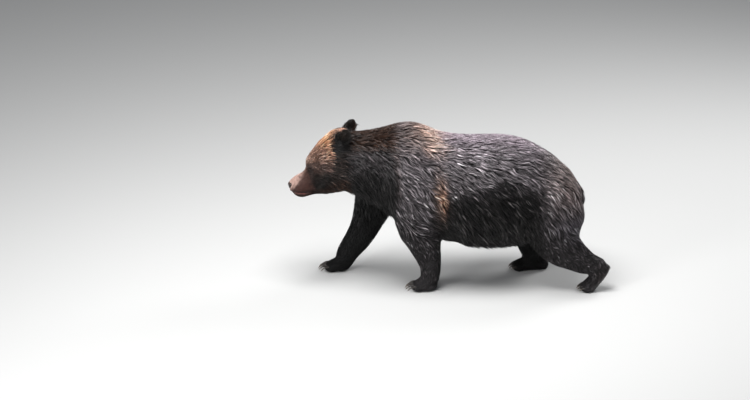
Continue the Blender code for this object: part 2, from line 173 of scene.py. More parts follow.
@dataclass
class Surface:
    """A mesh as arrays: points, triangles and edges."""

    points: Array
    triangles: Array
    edges: Array

    @classmethod
    def of(cls, mesh: bpy.types.Mesh) -> "Surface":
        """Reads a mesh.

        Args:
            mesh: any mesh.

        Returns:
            Its points, triangulated faces and edges.
        """
        points = np.empty(len(mesh.vertices) * 3)
        mesh.vertices.foreach_get("co", points)
        mesh.calc_loop_triangles()
        triangles = np.empty(len(mesh.loop_triangles) * 3, dtype=np.int32)
        mesh.loop_triangles.foreach_get("vertices", triangles)
        edges = np.empty(len(mesh.edges) * 2, dtype=np.int32)
        mesh.edges.foreach_get("vertices", edges)
        return cls(points.reshape(-1, 3), triangles.reshape(-1, 3), edges.reshape(-1, 2))

    @classmethod
    def welded(cls, mesh: bpy.types.Mesh) -> "Surface":
        """A node's loose triangles with the corners that share a place made one.

        Args:
            mesh: a node's mesh.

        Returns:
            The closed surface, without edges.
        """
        loose = cls.of(mesh)
        keys = np.round(loose.points / WELD).astype(np.int64)
        _, first, back = np.unique(keys, axis=0, return_index=True, return_inverse=True)
        return cls(loose.points[first], back.reshape(-1)[loose.triangles], np.empty((0, 2)))

    def crosses(self) -> Array:
        """Cross product of two sides of each triangle."""
        a, b, c = (self.points[self.triangles[:, k]] for k in range(3))
        return np.cross(b - a, c - a)

    def areas(self) -> Array:
        """Area of each triangle: half the length of its cross product."""
        return np.linalg.norm(self.crosses(), axis=1) / 2

    def normals(self) -> Array:
        """Outward directions at the points: the sum of the crosses of the triangles round each."""
        face = self.crosses()
        total = np.zeros_like(self.points)
        for corner in range(3):
            for axis in range(3):
                total[:, axis] += np.bincount(self.triangles[:, corner], face[:, axis], len(self.points))
        return unit(total)

    def around(self, values: Array) -> Array:
        """Mean of each point's neighbours along the edges, column by column."""
        start, end = self.edges[:, 0], self.edges[:, 1]
        count = len(self.points)
        near = np.bincount(start, minlength=count) + np.bincount(end, minlength=count)
        mean = np.empty_like(values)
        for k in range(values.shape[1]):
            total = np.bincount(start, values[end, k], count)
            total += np.bincount(end, values[start, k], count)
            mean[:, k] = total / np.maximum(near, 1)
        return mean

    def soften(self, values: Array, times: int) -> Array:
        """Values moved halfway to their neighbours' mean, so many times."""
        for _ in range(times):
            values = mix(values, self.around(values), 0.5)
        return values

    def relax(self, times: int) -> None:
        """Smooths without shrinking: a step of 0.5 to the mean, then one of -0.52 away."""
        for _ in range(times):
            for pace in (0.5, -0.52):
                self.points = mix(self.points, self.around(self.points), pace)

    def scatter(self, spacing: float, share: Array, rng: np.random.Generator) -> tuple[Array, Array]:
        """Even random spots: of many area-weighted throws, one is kept in each cube of space.

        Args:
            spacing: side of the cubes.
            share: how likely each point of the surface is to be chosen, 0 to 1.
            rng: source of the throws.

        Returns:
            The triangle of each spot, and its weights on that triangle's corners.
        """
        worth = self.areas() * share[self.triangles].mean(1)
        total = worth.sum()
        if total < spacing**2:
            return np.empty(0, dtype=int), np.empty((0, 3))
        throws = int(total / spacing**2 * THROWS) + 1
        chosen = rng.choice(len(worth), throws, p=worth / total)
        u, v = rng.random((2, throws))
        u = np.sqrt(u)
        weights = np.stack([1 - u, u * (1 - v), u * v], axis=1)
        spots = self.at(self.points, chosen, weights)
        cells = np.floor(spots / spacing + rng.random(3)).astype(np.int64)
        _, kept = np.unique(cells, axis=0, return_index=True)
        kept = np.sort(kept)
        return chosen[kept], weights[kept]

    def at(self, values: Array, chosen: Array, weights: Array) -> Array:
        """Values of the points, read at spots that scatter() chose."""
        corners = self.triangles[chosen]
        if values.ndim == 1:
            return (values[corners] * weights).sum(1)
        return (values[corners] * weights[..., None]).sum(1)


class Lookup:
    """Nearest-point search over a fixed set of points."""

    def __init__(self, points: Array) -> None:
        """Fills the tree with the points."""
        self.tree = KDTree(len(points))
        for index, point in enumerate(points.tolist()):
            self.tree.insert(point, index)
        self.tree.balance()

    def nearest(self, points: Array) -> Array:
        """Index of the nearest stored point to each of these."""
        find = self.tree.find
        return np.fromiter((find(p)[1] for p in points.tolist()), dtype=np.int64, count=len(points))


def mesh_of(name: str, points: Array, triangles: Array) -> bpy.types.Mesh:
    """A smooth-shaded mesh from arrays.

    Args:
        name: the mesh's name.
        points: n by 3 places.
        triangles: m by 3 indices, turning anticlockwise seen from outside.

    Returns:
        The mesh.
    """
    mesh = bpy.data.meshes.new(name)
    mesh.vertices.add(len(points))
    mesh.vertices.foreach_set("co", points.astype(np.float32).ravel())
    mesh.loops.add(triangles.size)
    mesh.loops.foreach_set("vertex_index", triangles.astype(np.int32).ravel())
    mesh.polygons.add(len(triangles))
    mesh.polygons.foreach_set("loop_start", np.arange(0, triangles.size, 3, dtype=np.int32))
    mesh.update(calc_edges=True)
    mesh.polygons.foreach_set("use_smooth", np.ones(len(mesh.polygons), dtype=bool))
    mesh.update()
    return mesh


def set_tint(mesh: bpy.types.Mesh, colours: Array) -> None:
    """Writes one linear colour per point into the mesh's tint attribute."""
    full = np.ones((len(colours), 4), dtype=np.float32)
    full[:, :3] = np.clip(colours, 0.0, 1.0)
    mesh.attributes.new(TINT, "FLOAT_COLOR", "POINT").data.foreach_set("color", full.ravel())


def set_map(mesh: bpy.types.Mesh, name: str, places: Array) -> None:
    """Writes one map place per face corner."""
    layer = mesh.uv_layers.new(name=name, do_init=False)
    layer.uv.foreach_set("vector", places.astype(np.float32).ravel())


def lattice(rows: int, columns: int, ring: bool = False) -> Array:
    """Triangles of a grid of rows whose columns close on themselves.

    Args:
        rows: how many rings.
        columns: how many points in each.
        ring: whether the last row joins the first.

    Returns:
        Triangles that face outwards where the columns turn anticlockwise seen along the rows.
    """
    r, c = np.meshgrid(np.arange(rows if ring else rows - 1), np.arange(columns), indexing="ij")
    a = r * columns + c
    b = r * columns + (c + 1) % columns
    d, e = ((corner + columns) % (rows * columns) for corner in (a, b))
    return np.concatenate([np.stack([a, b, e], -1), np.stack([a, e, d], -1)]).reshape(-1, 3)


def capped(rows: int, columns: int) -> Array:
    """A lattice closed by two more points, the first row's and the last row's, numbered after it."""
    here = np.arange(columns)
    ahead = (here + 1) % columns
    base, pole = (rows - 1) * columns, rows * columns
    first = np.stack([np.full(columns, pole), ahead, here], -1)
    last = np.stack([np.full(columns, pole + 1), base + here, base + ahead], -1)
    return np.vstack([lattice(rows, columns), first, last])


def turns(columns: int) -> Array:
    """Even angles once round."""
    return np.linspace(0, 2 * math.pi, columns, endpoint=False)


def outward(points: Array, triangles: Array) -> Array:
    """The triangles, turned over if their closed surface has a negative volume."""
    a, b, c = (points[triangles[:, k]] for k in range(3))
    volume = (np.cross(a - points.mean(0), b - points.mean(0)) * (c - points.mean(0))).sum()
    return triangles if volume > 0 else triangles[:, ::-1]


def place_piece(
    mesh: bpy.types.Mesh, material: bpy.types.Material, nodes: Sequence[str] = ()
) -> bpy.types.Object:
    """Puts a finished mesh into the model under its own name.

    Args:
        mesh: the mesh, in place.
        material: its finish.
        nodes: solids that the piece stands for.

    Returns:
        The piece, riding on the body.
    """
    piece = bpy.data.objects.new(mesh.name, mesh)
    bpy.context.scene.collection.objects.link(piece)
    mesh.materials.append(material)
    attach(piece, BODY)
    if nodes:
        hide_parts(*nodes)
    LOG.info("%s: %d triangles", mesh.name, len(mesh.polygons))
    return piece


# ---------------------------------------------------------------- finishes


class Graph:
    """A small helper for wiring a node tree."""

    def __init__(self, tree: bpy.types.NodeTree) -> None:
        """Keeps the tree that nodes are added to."""
        self.tree = tree

    def add(
        self, kind: str, fed: dict[str | int, object] | None = None, **settings: object
    ) -> bpy.types.Node:
        """A new node of a kind, with its inputs fed and its properties set."""
        node = self.tree.nodes.new(kind)
        for key, value in settings.items():
            setattr(node, key, value)
        self.feed(node, fed or {})
        return node

    def feed(self, node: bpy.types.Node, fed: dict[str | int, object]) -> None:
        """Gives each named or numbered input of a node a socket to read or a value of its own."""
        for key, given in fed.items():
            if isinstance(given, bpy.types.NodeSocket):
                self.tree.links.new(given, node.inputs[key])
            else:
                node.inputs[key].default_value = given

    def math(self, operation: str, first: object, second: object) -> bpy.types.NodeSocket:
        """Result of a Math node fed by sockets or numbers."""
        return self.add("ShaderNodeMath", {0: first, 1: second}, operation=operation).outputs[0]

    def spread(self, value: bpy.types.NodeSocket, **ends: float) -> bpy.types.NodeSocket:
        """Result of a Map Range node, its ends given as from_min, from_max, to_min and to_max."""
        named = {key.replace("_", " ").title(): end for key, end in ends.items()}
        return self.add("ShaderNodeMapRange", {"Value": value, **named}).outputs[0]


def new_group(name: str, inputs: dict[str, float], outputs: Sequence[str]) -> Graph:
    """A new shader node group with number inputs, a Vector input and number outputs."""
    group = bpy.data.node_groups.new(name, "ShaderNodeTree")
    group.interface.new_socket("Vector", in_out="INPUT", socket_type="NodeSocketVector")
    for key, value in inputs.items():
        socket = group.interface.new_socket(key, in_out="INPUT", socket_type="NodeSocketFloat")
        socket.default_value = value
    for key in outputs:
        group.interface.new_socket(key, in_out="OUTPUT", socket_type="NodeSocketFloat")
    return Graph(group)


def fibre_group() -> bpy.types.NodeTree:
    """Hair streaks, built once: noise drawn out along the second axis of its vector.

    Returns:
        A group with Vector, Across and Along inputs and Streak and Height outputs.
    """
    g = new_group("hair streaks", {"Across": 6.0, "Along": 0.5}, ("Streak", "Height"))
    start, end = g.add("NodeGroupInput").outputs, g.add("NodeGroupOutput")
    split = g.add("ShaderNodeSeparateXYZ", {0: start["Vector"]}).outputs
    across = g.math("MULTIPLY", split[0], start["Across"])
    along = g.math("MULTIPLY", split[1], start["Along"])
    drawn = g.add("ShaderNodeCombineXYZ", {0: across, 1: along, 2: split[2]}).outputs[0]
    noise = g.add("ShaderNodeTexNoise", {"Scale": 1.0, "Detail": 3.0, "Vector": drawn}).outputs["Fac"]
    g.feed(end, {"Streak": g.spread(noise, from_min=0.3, from_max=0.7), "Height": noise})
    return g.tree


def pebble_group() -> bpy.types.NodeTree:
    """Wet leathery grain, built once: rounded cells broken up by fine noise.

    Returns:
        A group with Vector and Size inputs and Grain and Height outputs.
    """
    g = new_group("pebbled leather", {"Size": 500.0}, ("Grain", "Height"))
    start, end = g.add("NodeGroupInput").outputs, g.add("NodeGroupOutput")
    place = {"Vector": start["Vector"], "Scale": start["Size"]}
    cells = g.add("ShaderNodeTexVoronoi", place, feature="SMOOTH_F1").outputs["Distance"]
    fine = g.add("ShaderNodeTexNoise", {**place, "Detail": 4.0}).outputs["Fac"]
    domed = g.math("SUBTRACT", 1.0, cells)
    g.feed(end, {"Grain": fine, "Height": g.math("ADD", domed, g.math("MULTIPLY", fine, 0.3))})
    return g.tree


@dataclass(frozen=True)
class Finish:
    """A surface finish whose colour comes from the tint attribute, broken up by a group."""

    name: str
    roughness: tuple[float, float]
    bump: float
    relief: float
    contrast: float
    gloss: float
    group_inputs: dict[str, float]
    dull: float = 0.0  # roughness added where the tint is darkest
    darkest: float = 0.007  # tint above which nothing is added

    def material(self, group: bpy.types.NodeTree, along_tufts: bool = False) -> bpy.types.Material:
        """Builds the finish.

        Args:
            group: the group that breaks it up; its first output is a mask, its second a height.
            along_tufts: whether the pattern lies on each tuft's own map or in object space.

        Returns:
            The material.
        """
        material = bpy.data.materials.new(self.name)
        material.use_nodes = True
        g = Graph(material.node_tree)
        if along_tufts:
            where = g.add("ShaderNodeUVMap", uv_map=LIE_MAP).outputs[0]
        else:
            where = g.add("ShaderNodeTexCoord").outputs["Object"]
        pattern = g.add("ShaderNodeGroup", node_tree=group)
        g.feed(pattern, {"Vector": where, **self.group_inputs})
        mask, height = pattern.outputs[0], pattern.outputs[1]
        tint = g.add("ShaderNodeAttribute", attribute_name=TINT).outputs["Color"]
        shade = g.spread(mask, to_min=1.0 - self.contrast, to_max=1.0 + self.contrast)
        colour = g.add("ShaderNodeVectorMath", operation="SCALE")
        g.feed(colour, {0: tint, "Scale": shade})
        rough = g.spread(mask, to_min=self.roughness[0], to_max=self.roughness[1])
        light = g.add("ShaderNodeRGBToBW", {0: tint}).outputs[0]
        dull = g.spread(light, from_max=self.darkest, to_min=self.dull, to_max=0.0)
        bump = g.add("ShaderNodeBump")
        g.feed(bump, {"Strength": self.bump, "Distance": self.relief, "Height": height})
        g.feed(material.node_tree.nodes["Principled BSDF"], {
            "Base Color": colour.outputs[0], "Roughness": g.math("ADD", rough, dull),
            "Normal": bump.outputs[0], "Specular IOR Level": self.gloss,
        })
        return material


@dataclass
class Finishes:
    """Every finish of the bear, each built once."""

    def __post_init__(self) -> None:
        """Builds the two groups and the materials that use them."""
        fibre, pebble = fibre_group(), pebble_group()
        self.coat = Finish("wet coat", (0.18, 0.38), 0.35, 0.0008, 0.30, 0.25,
                           {"Across": 5.0, "Along": 0.4}, dull=0.35).material(fibre, True)
        self.skin = Finish("short wet fur and skin", (0.42, 0.62), 0.35, 0.0010, 0.22, 0.3,
                           {"Size": 520.0}, dull=0.2).material(pebble)
        self.nose = Finish("wet nose leather", (0.24, 0.42), 0.5, 0.0006, 0.12, 0.45,
                           {"Size": 900.0}).material(pebble)
        self.lid = Finish("lid skin", (0.40, 0.55), 0.4, 0.0003, 0.10, 0.3,
                          {"Size": 1500.0}).material(pebble)
        self.eye = Finish("wet eye", (0.04, 0.08), 0.0, 0.0001, 0.05, 0.5,
                          {"Size": 900.0}).material(pebble)
        self.horn = Finish("claw horn", (0.25, 0.42), 0.3, 0.0003, 0.25, 0.5,
                           {"Across": 120.0, "Along": 700.0}).material(fibre)


# ---------------------------------------------------------------- markings


MOUTH_LINE = (
    (-0.020, 0.012, 0.020, 0.034, 0.050, 0.073, 0.098, 0.124, 0.150),
    (-0.039, -0.039, -0.041, -0.0500, -0.0600, -0.0710, -0.0785, -0.0825, -0.0850),
)


def mouth_gap(a: Array, b: Array) -> Array:
    """Height above the line where the lips meet."""
    return b - np.interp(a, *MOUTH_LINE)


@dataclass(frozen=True)
class Place:
    """Where points are, both ways: in the world and on the head."""

    points: Array

    def __post_init__(self) -> None:
        """Splits the points into x, z, the distance out, the skull's a and b and what follows."""
        x, y, z = self.points.T
        a, _, b = SKULL.axes(self.points)
        named = {"x": x, "z": z, "out": np.abs(y), "a": a, "b": b, "gap": mouth_gap(a, b)}
        named["level"] = 0.94 * z - 0.342 * np.abs(y)  # falls away down the bear's round sides
        named["head"] = rise(-0.60, -0.66, x) * rise(0.50, 0.56, z)
        for name, value in named.items():
            object.__setattr__(self, name, value)

    def spot(self, x: float, out: float, z: float, *radii: float) -> Array:
        """A soft spot in the world, made on both sides."""
        return blob(np.stack([self.x, self.out, self.z], -1), (x, out, z), radii)

    def on_skull(self, a: float, out: float, b: float, *radii: float) -> Array:
        """A soft spot in the skull's axes, made on both sides."""
        return blob(np.stack([self.a, self.out, self.b], -1), (a, out, b), radii)

    def patch(self, x: float, level: float, *radii: float) -> Array:
        """A soft spot of x and level alone, right through the bear."""
        return blob(np.stack([self.x, self.level], -1), (x, level), radii)

    def slope(self, x: float, level: float, steep: float) -> Array:
        """Level above a sloping line through a point."""
        return self.level - level - steep * (self.x - x)


@dataclass(frozen=True)
class Wash:
    """One colour laid over the rest through a soft mask."""

    colour: tuple[float, float, float]
    mask: Callable[[Place], Array]
    strength: float = 1.0


BODY_WASHES = (
    # darker towards the belly: wet dark fur plus painted shade under the body, least on shoulder and
    # thigh
    Wash((17, 16, 16), lambda p: mix(
        0.62 * rise(0.54, 0.28, p.level),
        rise(0.655, 0.490, p.level + 0.032 * rise(0.30, 0.20, p.x)),
        rise(-0.12, -0.03, p.x) * rise(0.68, 0.55, p.x))),
    # painted sheen: pale along the spine, where the wet back shines
    Wash((101, 92, 98), lambda p: rise(0.80, 0.98, p.z) * rise(-0.30, 0.0, p.x)
         * (1 - 0.6 * rise(0.05, 0.14, p.out))),
    Wash((84, 72, 68), lambda p: rise(0.55, 0.80, p.x) * rise(0.45, 0.75, p.z), 0.6),
    Wash((70, 58, 54), lambda p: p.spot(-0.20, 0.05, 1.02, 0.12, 0.20, 0.12)),
    # pale band behind the hump
    Wash((152, 128, 117), lambda p: bell(
        (q := p.x + 0.112 + 0.35 * (p.z - 1.0) + 0.020 * ripple(p.points, 0.09, 8)),
        np.where(q > 0, 0.075, 0.040)) * rise(0.86, 0.97, p.z), 0.85),
    # dark neck, darker still below
    Wash((33, 22, 17), lambda p: rise(-0.285, -0.345, p.x) * rise(0.55, 0.70, p.z)),
    Wash((32, 29, 30), lambda p: rise(-0.300, -0.355, p.x) * rise(0.86, 0.78, p.level)),
    Wash((18, 17, 17), lambda p: rise(-0.300, -0.355, p.x) * rise(0.72, 0.62, p.level)),
    # faded streaks behind the elbow
    Wash((90, 72, 63), lambda p: p.patch(-0.045, 0.545, 0.036, 0.125) * rise(0.12, 0.2, p.out), 0.85),
    Wash((88, 58, 44), lambda p: p.patch(-0.030, 0.500, 0.020, 0.065) * rise(0.12, 0.2, p.out), 0.75),
    # painted shade in the fold in front of the thigh
    Wash((12, 11, 11), lambda p: p.patch(0.370, 0.560, 0.075, 0.072), 0.92),
    # painted glints: a lighter, silvery patch low on the hind legs
    Wash((84, 80, 86), lambda p: p.patch(0.85, 0.315, 0.12, 0.070), 0.65),
    # painted shade on the inner faces of the legs, which the body shades
    Wash((13, 13, 13), lambda p: rise(0.19, 0.13, p.out) * rise(0.58, 0.46, p.z), 0.85),
    # the raised foot's bare pad
    Wash((46, 38, 35), lambda p: p.spot(1.03, 0.19, 0.09, 0.075, 0.09, 0.080)
         * (0.7 + 0.3 * ripple(p.points, 0.03, 42))),
)
# Each of these is laid over the head alone.
HEAD_WASHES = (
    Wash((32, 27, 25), lambda p: 1.0),
    Wash((70, 55, 50), lambda p: rise(0.665, 0.705, p.level) * rise(-0.715, -0.745, p.x)),
    Wash((124, 95, 82), lambda p: rise(0.735, 0.785, p.level)
         * rise(-0.712, -0.742, p.x - 0.12 * rise(0.93, 0.98, p.level))),
    Wash((160, 113, 82), lambda p: p.patch(-0.785, 0.895, 0.045, 0.045), 0.9),
    Wash((154, 115, 86), lambda p: p.patch(-0.785, 0.955, 0.055, 0.028), 0.8),
    Wash((132, 92, 68), lambda p: p.patch(-0.748, 0.806, 0.020, 0.050), 0.6),
    Wash((130, 106, 97), lambda p: p.patch(-0.8645, 0.728, 0.018, 0.016), 0.6),
    Wash((112, 74, 53), lambda p: p.patch(-0.835, 0.880, 0.018, 0.022), 0.6),
    Wash((156, 126, 112), lambda p: p.patch(-0.908, 0.785, 0.026, 0.028), 0.8),
    # muzzle: dark sides and pale top, partly its own colour and partly painted top light and side shade
    Wash((94, 69, 63), lambda p: rise(0.172, 0.146, p.a)),
    Wash((88, 61, 55), lambda p: rise(0.160, 0.130, p.a) * rise(0.000, -0.040, p.b)),
    Wash((196, 165, 154), lambda p: rise(0.160, 0.130, p.a) * rise(-0.918, -0.965, p.x)
         * rise(-0.028, 0.030, p.slope(-0.982, 0.611, 1.2) + 0.014 * ripple(p.points, 0.022, 7)), 0.95),
    Wash((70, 50, 50), lambda p: p.patch(-0.960, 0.663, 0.006, 0.009), 0.6),
    Wash((74, 50, 46), lambda p: p.patch(-0.992, 0.580, 0.016, 0.016), 0.7),
    Wash((138, 112, 100), lambda p: p.patch(-0.930, 0.715, 0.016, 0.024), 0.8),
    # from the eye down to the corner of the mouth
    Wash((46, 36, 33), lambda p: p.patch(-0.893, 0.700, 0.020, 0.026), 0.9),
    Wash((58, 45, 42), lambda p: p.patch(-0.878, 0.640, 0.014, 0.050), 0.6),
    Wash((78, 67, 64), lambda p: p.patch(-0.8775, 0.665, 0.011, 0.026), 0.8),
    Wash((17, 14, 12), lambda p: p.patch(-0.818, 0.606, 0.034, 0.034), 0.85),
    Wash((38, 27, 22), lambda p: rise(0.07, 0.14, p.a) * rise(-0.060, -0.090, p.b)),
    Wash((56, 36, 29), lambda p: rise(0.14, 0.09, p.a) * rise(-0.060, -0.085, p.b), 0.9),
    Wash((22, 17, 15), lambda p: p.patch(-0.878, 0.701, 0.016, 0.009), 0.8),
    Wash((34, 26, 23), lambda p: p.on_skull(0.187, 0.066, 0.066, 0.019, 0.03, 0.013), 0.9),
    # lips
    Wash((52, 30, 28), lambda p: rise(0.124, 0.106, p.a)
         * bell(p.gap - 0.002, 0.0085), 0.9),
    Wash((114, 60, 57), lambda p: rise(0.104, 0.078, p.a) * rise(0.020, 0.040, p.a)
         * rise(-0.002, -0.005, p.gap) * rise(-0.020, -0.012, p.gap)
         * (0.6 + 0.5 * ripple(p.points, 0.012, 5)).clip(0, 1)),
    Wash((20, 13, 12), lambda p: rise(0.124, 0.106, p.a)
         * bell(p.gap + 0.0010, 0.0032)),
)
EAR_WASHES = (
    # ears and the fur round them: dark ear fur, with painted shade round the ear
    Wash((7, 6, 6), lambda p: rise(-0.752, -0.728, p.x) * rise(-0.600, -0.635, p.x)
         * rise(0.785, 0.830, p.level) * rise(0.990, 0.970, p.level) * rise(0.0, 0.06, p.out)),
    Wash((27, 21, 17), lambda p: p.spot(-0.66, 0.085, 1.045, 0.07, 0.08, 0.040), 0.8),
)


@dataclass(frozen=True)
class Markings:
    """The bear's colours, painted light and shade among them, as one formula of place, shared by skin
    and coat.

    Each wash mixes its colour over those before it by its mask.
    """

    bare_gain: float = 1.0
    coat_gain: float = 1.55
    fine_blotches: float = 0.15  # on the head
    broad_blotches: float = 0.12  # on the body
    base: tuple[float, float, float] = (69, 65, 67)

    def colour(self, points: Array, depth: Array) -> Array:
        """The bear's linear colour at each point.

        Args:
            points: n by 3 world places.
            depth: how deep the coat is there; deep fur shades itself, so its colour is raised.

        Returns:
            n by 3 linear colours.
        """
        place = Place(points)
        tone = np.repeat(paint(*self.base)[None], len(points), axis=0)
        everywhere = np.ones(len(points))
        laid = ((BODY_WASHES, everywhere), (HEAD_WASHES, place.head), (EAR_WASHES, everywhere))
        for washes, where in laid:
            for wash in washes:
                share = wash.mask(place) * where * wash.strength
                tone = mix(tone, paint(*wash.colour), share[:, None])
        raised = mix(self.bare_gain, self.coat_gain, rise(0.002, 0.012, depth))
        fine = self.fine_blotches * ripple(points, 0.016, 31) * place.head
        broad = self.broad_blotches * ripple(points, 0.11, 32) * (1 - place.head)
        return tone * (raised * (1 + fine + broad))[:, None]

    def variety(self, points: Array) -> Array:
        """How unlike neighbouring locks are: least on the back, most on shoulder, legs and neck."""
        place = Place(points)
        side = 0.40 * rise(0.93, 0.74, place.level)
        legs = 0.15 * rise(0.45, 0.25, place.level)
        brow = 0.12 * place.head * rise(0.15, 0.22, place.a)
        return 0.42 + side + legs + brow

    def painted_glint_share(self, points: Array) -> Array:
        """How far painted glints light up wet locks out of the dark coat there, from 0 to 1."""
        place = Place(points)
        low = rise(0.66, 0.52, place.level)
        flank = rise(-0.06, 0.02, place.x) * low * rise(0.52, 0.42, place.x)
        rest = low * rise(-0.50, -0.36, place.x)
        return (1 - place.head) * rise(0.24, 0.36, place.z) * (1.2 * flank + 0.35 * rest * (1 - flank))


# ---------------------------------------------------------------- lie of the coat

# Shared by both sides: place (x, distance out, z), then heading (x, outwards, z).
BODY_LIE = (
    (-0.55, 0.00, 1.04, 1.0, 0.0, -0.05), (-0.52, 0.17, 0.93, 0.8, 0.1, -0.6),
    (-0.50, 0.21, 0.78, 0.6, 0.05, -0.8), (-0.50, 0.17, 0.60, 0.35, 0.0, -0.94),
    (-0.55, 0.00, 0.47, 0.3, 0.0, -0.95), (-0.45, 0.06, 0.42, 0.2, 0.0, -1.0),
    (-0.25, 0.00, 1.07, 1.0, 0.0, 0.0), (-0.25, 0.16, 1.00, 0.85, 0.15, -0.5),
    (-0.25, 0.27, 0.80, 0.77, 0.0, -0.64), (-0.40, 0.25, 0.70, 0.5, 0.0, -0.86),
    (0.00, 0.30, 0.80, 0.82, 0.0, -0.57), (0.25, 0.31, 0.75, 0.82, 0.0, -0.57),
    (0.10, 0.20, 1.00, 0.95, 0.1, -0.3), (0.00, 0.00, 1.02, 1.0, 0.0, -0.05),
    (0.40, 0.00, 1.00, 1.0, 0.0, -0.05), (0.40, 0.20, 0.97, 0.92, 0.1, -0.35),
    (0.10, 0.29, 0.50, 0.6, 0.0, -0.8), (0.30, 0.27, 0.48, 0.5, 0.0, -0.86),
    (0.10, 0.22, 0.36, 0.35, 0.0, -0.94), (0.10, 0.00, 0.27, 0.8, 0.0, -0.3),
    (0.35, 0.00, 0.32, 0.8, 0.0, -0.3), (0.65, 0.00, 0.93, 0.95, 0.0, -0.35),
    (0.83, 0.00, 0.75, 0.2, 0.0, -1.0), (0.82, 0.12, 0.70, 0.3, 0.0, -0.95),
    (0.65, 0.22, 0.80, 0.8, 0.0, -0.6), (0.42, 0.22, 0.45, 0.4, 0.0, -0.9),
    (0.87, 0.00, 0.60, 0.2, 0.0, -1.0), (0.55, 0.30, 0.60, 0.7, 0.0, -0.7),
)
# The same in the skull's axes: (a, out, b), heading (a, outwards, b).
HEAD_LIE = (
    (0.04, 0.00, 0.04, 1.0, 0.0, 0.2), (0.04, 0.04, 0.00, 1.0, 0.1, -0.1),
    (0.10, 0.03, 0.045, 1.0, 0.15, 0.1), (0.16, 0.05, 0.075, 0.85, 0.3, 0.35),
    (0.22, 0.00, 0.15, 0.85, 0.0, 0.5), (0.24, 0.06, 0.15, 0.85, 0.3, 0.1),
    (0.33, 0.03, 0.21, 1.0, 0.1, 0.1), (0.20, 0.10, 0.00, 0.9, 0.1, -0.35),
    (0.26, 0.13, 0.05, 0.9, 0.1, -0.30), (0.20, 0.10, -0.06, 0.75, 0.1, -0.65),
    (0.30, 0.14, -0.05, 0.6, 0.1, -0.80), (0.10, 0.06, -0.08, 0.9, 0.0, -0.4),
    (0.10, 0.00, -0.115, 1.0, 0.0, -0.1), (0.26, 0.06, -0.14, 0.8, 0.0, -0.6),
    (0.36, 0.14, 0.04, 0.7, 0.1, -0.6), (0.40, 0.12, 0.14, 0.8, 0.2, -0.5),
)
# One side only: place and heading in the world.
LIMB_LIE = (
    (-0.15, -0.28, 0.45, 0.93, 0.0, -0.35), (-0.30, -0.26, 0.45, 0.7, 0.0, -0.7),
    (-0.22, -0.29, 0.60, 0.6, 0.0, -0.8), (-0.10, -0.26, 0.36, 0.85, 0.0, -0.5),
    (-0.22, -0.26, 0.32, 0.5, 0.0, -0.86), (-0.15, -0.24, 0.22, 0.2, 0.0, -0.97),
    (-0.13, -0.20, 0.12, 0.0, 0.0, -1.0), (-0.18, -0.18, 0.06, -0.9, 0.0, -0.4),
    (-0.45, 0.24, 0.55, 0.2, 0.0, -0.97), (-0.50, 0.22, 0.40, -0.1, 0.0, -0.99),
    (-0.62, 0.20, 0.25, -0.25, 0.0, -0.95), (-0.68, 0.17, 0.13, -0.3, 0.0, -0.95),
    (-0.74, 0.17, 0.06, -0.9, 0.0, -0.4), (0.70, -0.29, 0.47, 0.5, 0.0, -0.85),
    (0.78, -0.27, 0.35, 0.7, 0.0, -0.7), (0.90, -0.22, 0.22, 0.8, 0.0, -0.5),
    (0.97, -0.20, 0.12, 0.5, 0.0, -0.85), (0.92, -0.19, 0.06, -0.8, 0.0, -0.6),
    (0.60, 0.27, 0.45, 0.2, 0.0, -0.97), (0.70, 0.22, 0.30, 0.2, 0.0, -0.97),
    (0.62, 0.19, 0.14, -0.2, 0.0, -0.97), (0.52, 0.19, 0.06, -0.9, 0.0, -0.4),
)


@dataclass(frozen=True)
class Lie:
    """Which way the coat lies: named headings blended by distance, then swayed by waves."""

    nearness: float = 0.05  # distance within which a guide's weight levels off
    sway: float = 0.34  # radians
    swell: float = 0.10  # wavelength of the sway
    ear_root: tuple[float, float, float] = (0.012, 0.045, 0.085)  # back, in and below its middle
    ear_reach: tuple[float, float] = (0.080, 0.056)  # outside all and inside all of its coat

    def guides(self) -> tuple[Array, Array]:
        """Places and headings of every guide, the shared ones on both sides."""
        rows = []
        for side in Side:
            flip = np.array([1, side.value, 1] * 2)
            rows.append(np.array(BODY_LIE) * flip)
            head = np.array(HEAD_LIE) * flip
            rows.append(np.hstack([SKULL.place(head[:, :3]), SKULL.head(head[:, 3:])]))
        rows.append(np.array(LIMB_LIE))
        table = np.vstack(rows)
        return table[:, :3], unit(table[:, 3:])

    def along(self, points: Array, normals: Array) -> Array:
        """Heading of the coat at points of the skin.

        The guides' headings are summed with weights one over the squared distance plus a
        floor, squared; on an ear the coat spreads from a point under its middle. The sum is
        laid into the skin and turned about its normal by a ripple.

        Args:
            points: n by 3 places.
            normals: n by 3 outward directions.

        Returns:
            n by 3 unit headings along the skin.
        """
        places, headings = self.guides()
        total = np.zeros_like(points)
        for place, heading in zip(places, headings):
            gap = ((points - place) ** 2).sum(1)
            total += heading * (1.0 / (gap + self.nearness**2) ** 2)[:, None]
        total = unit(total)
        for side in Side:
            middle = middle_of(f"ear_{side.word}")
            back, inwards, below = self.ear_root
            root = middle + np.array([back, -side.value * inwards, -below])
            near = rise(*self.ear_reach, np.linalg.norm(points - middle, axis=1))[:, None]
            total = mix(total, unit(points - root), near)
        flat = unit(total - normals * dot(total, normals))
        turn = (ripple(points, self.swell, SEED) * self.sway)[:, None]
        return unit(flat * np.cos(turn) + np.cross(normals, flat) * np.sin(turn))


# ---------------------------------------------------------------- skin

LEGS = ("foreleg_left", "foreleg_right", "hindleg_left", "hindleg_right")
PAWS = ("forepaw_left", "forepaw_right", "hindpaw_left", "hindpaw_right")
FLESH = ("trunk", "neck", "head", "jaw", "nose", "ear_left", "ear_right", "tail", *LEGS, *PAWS)

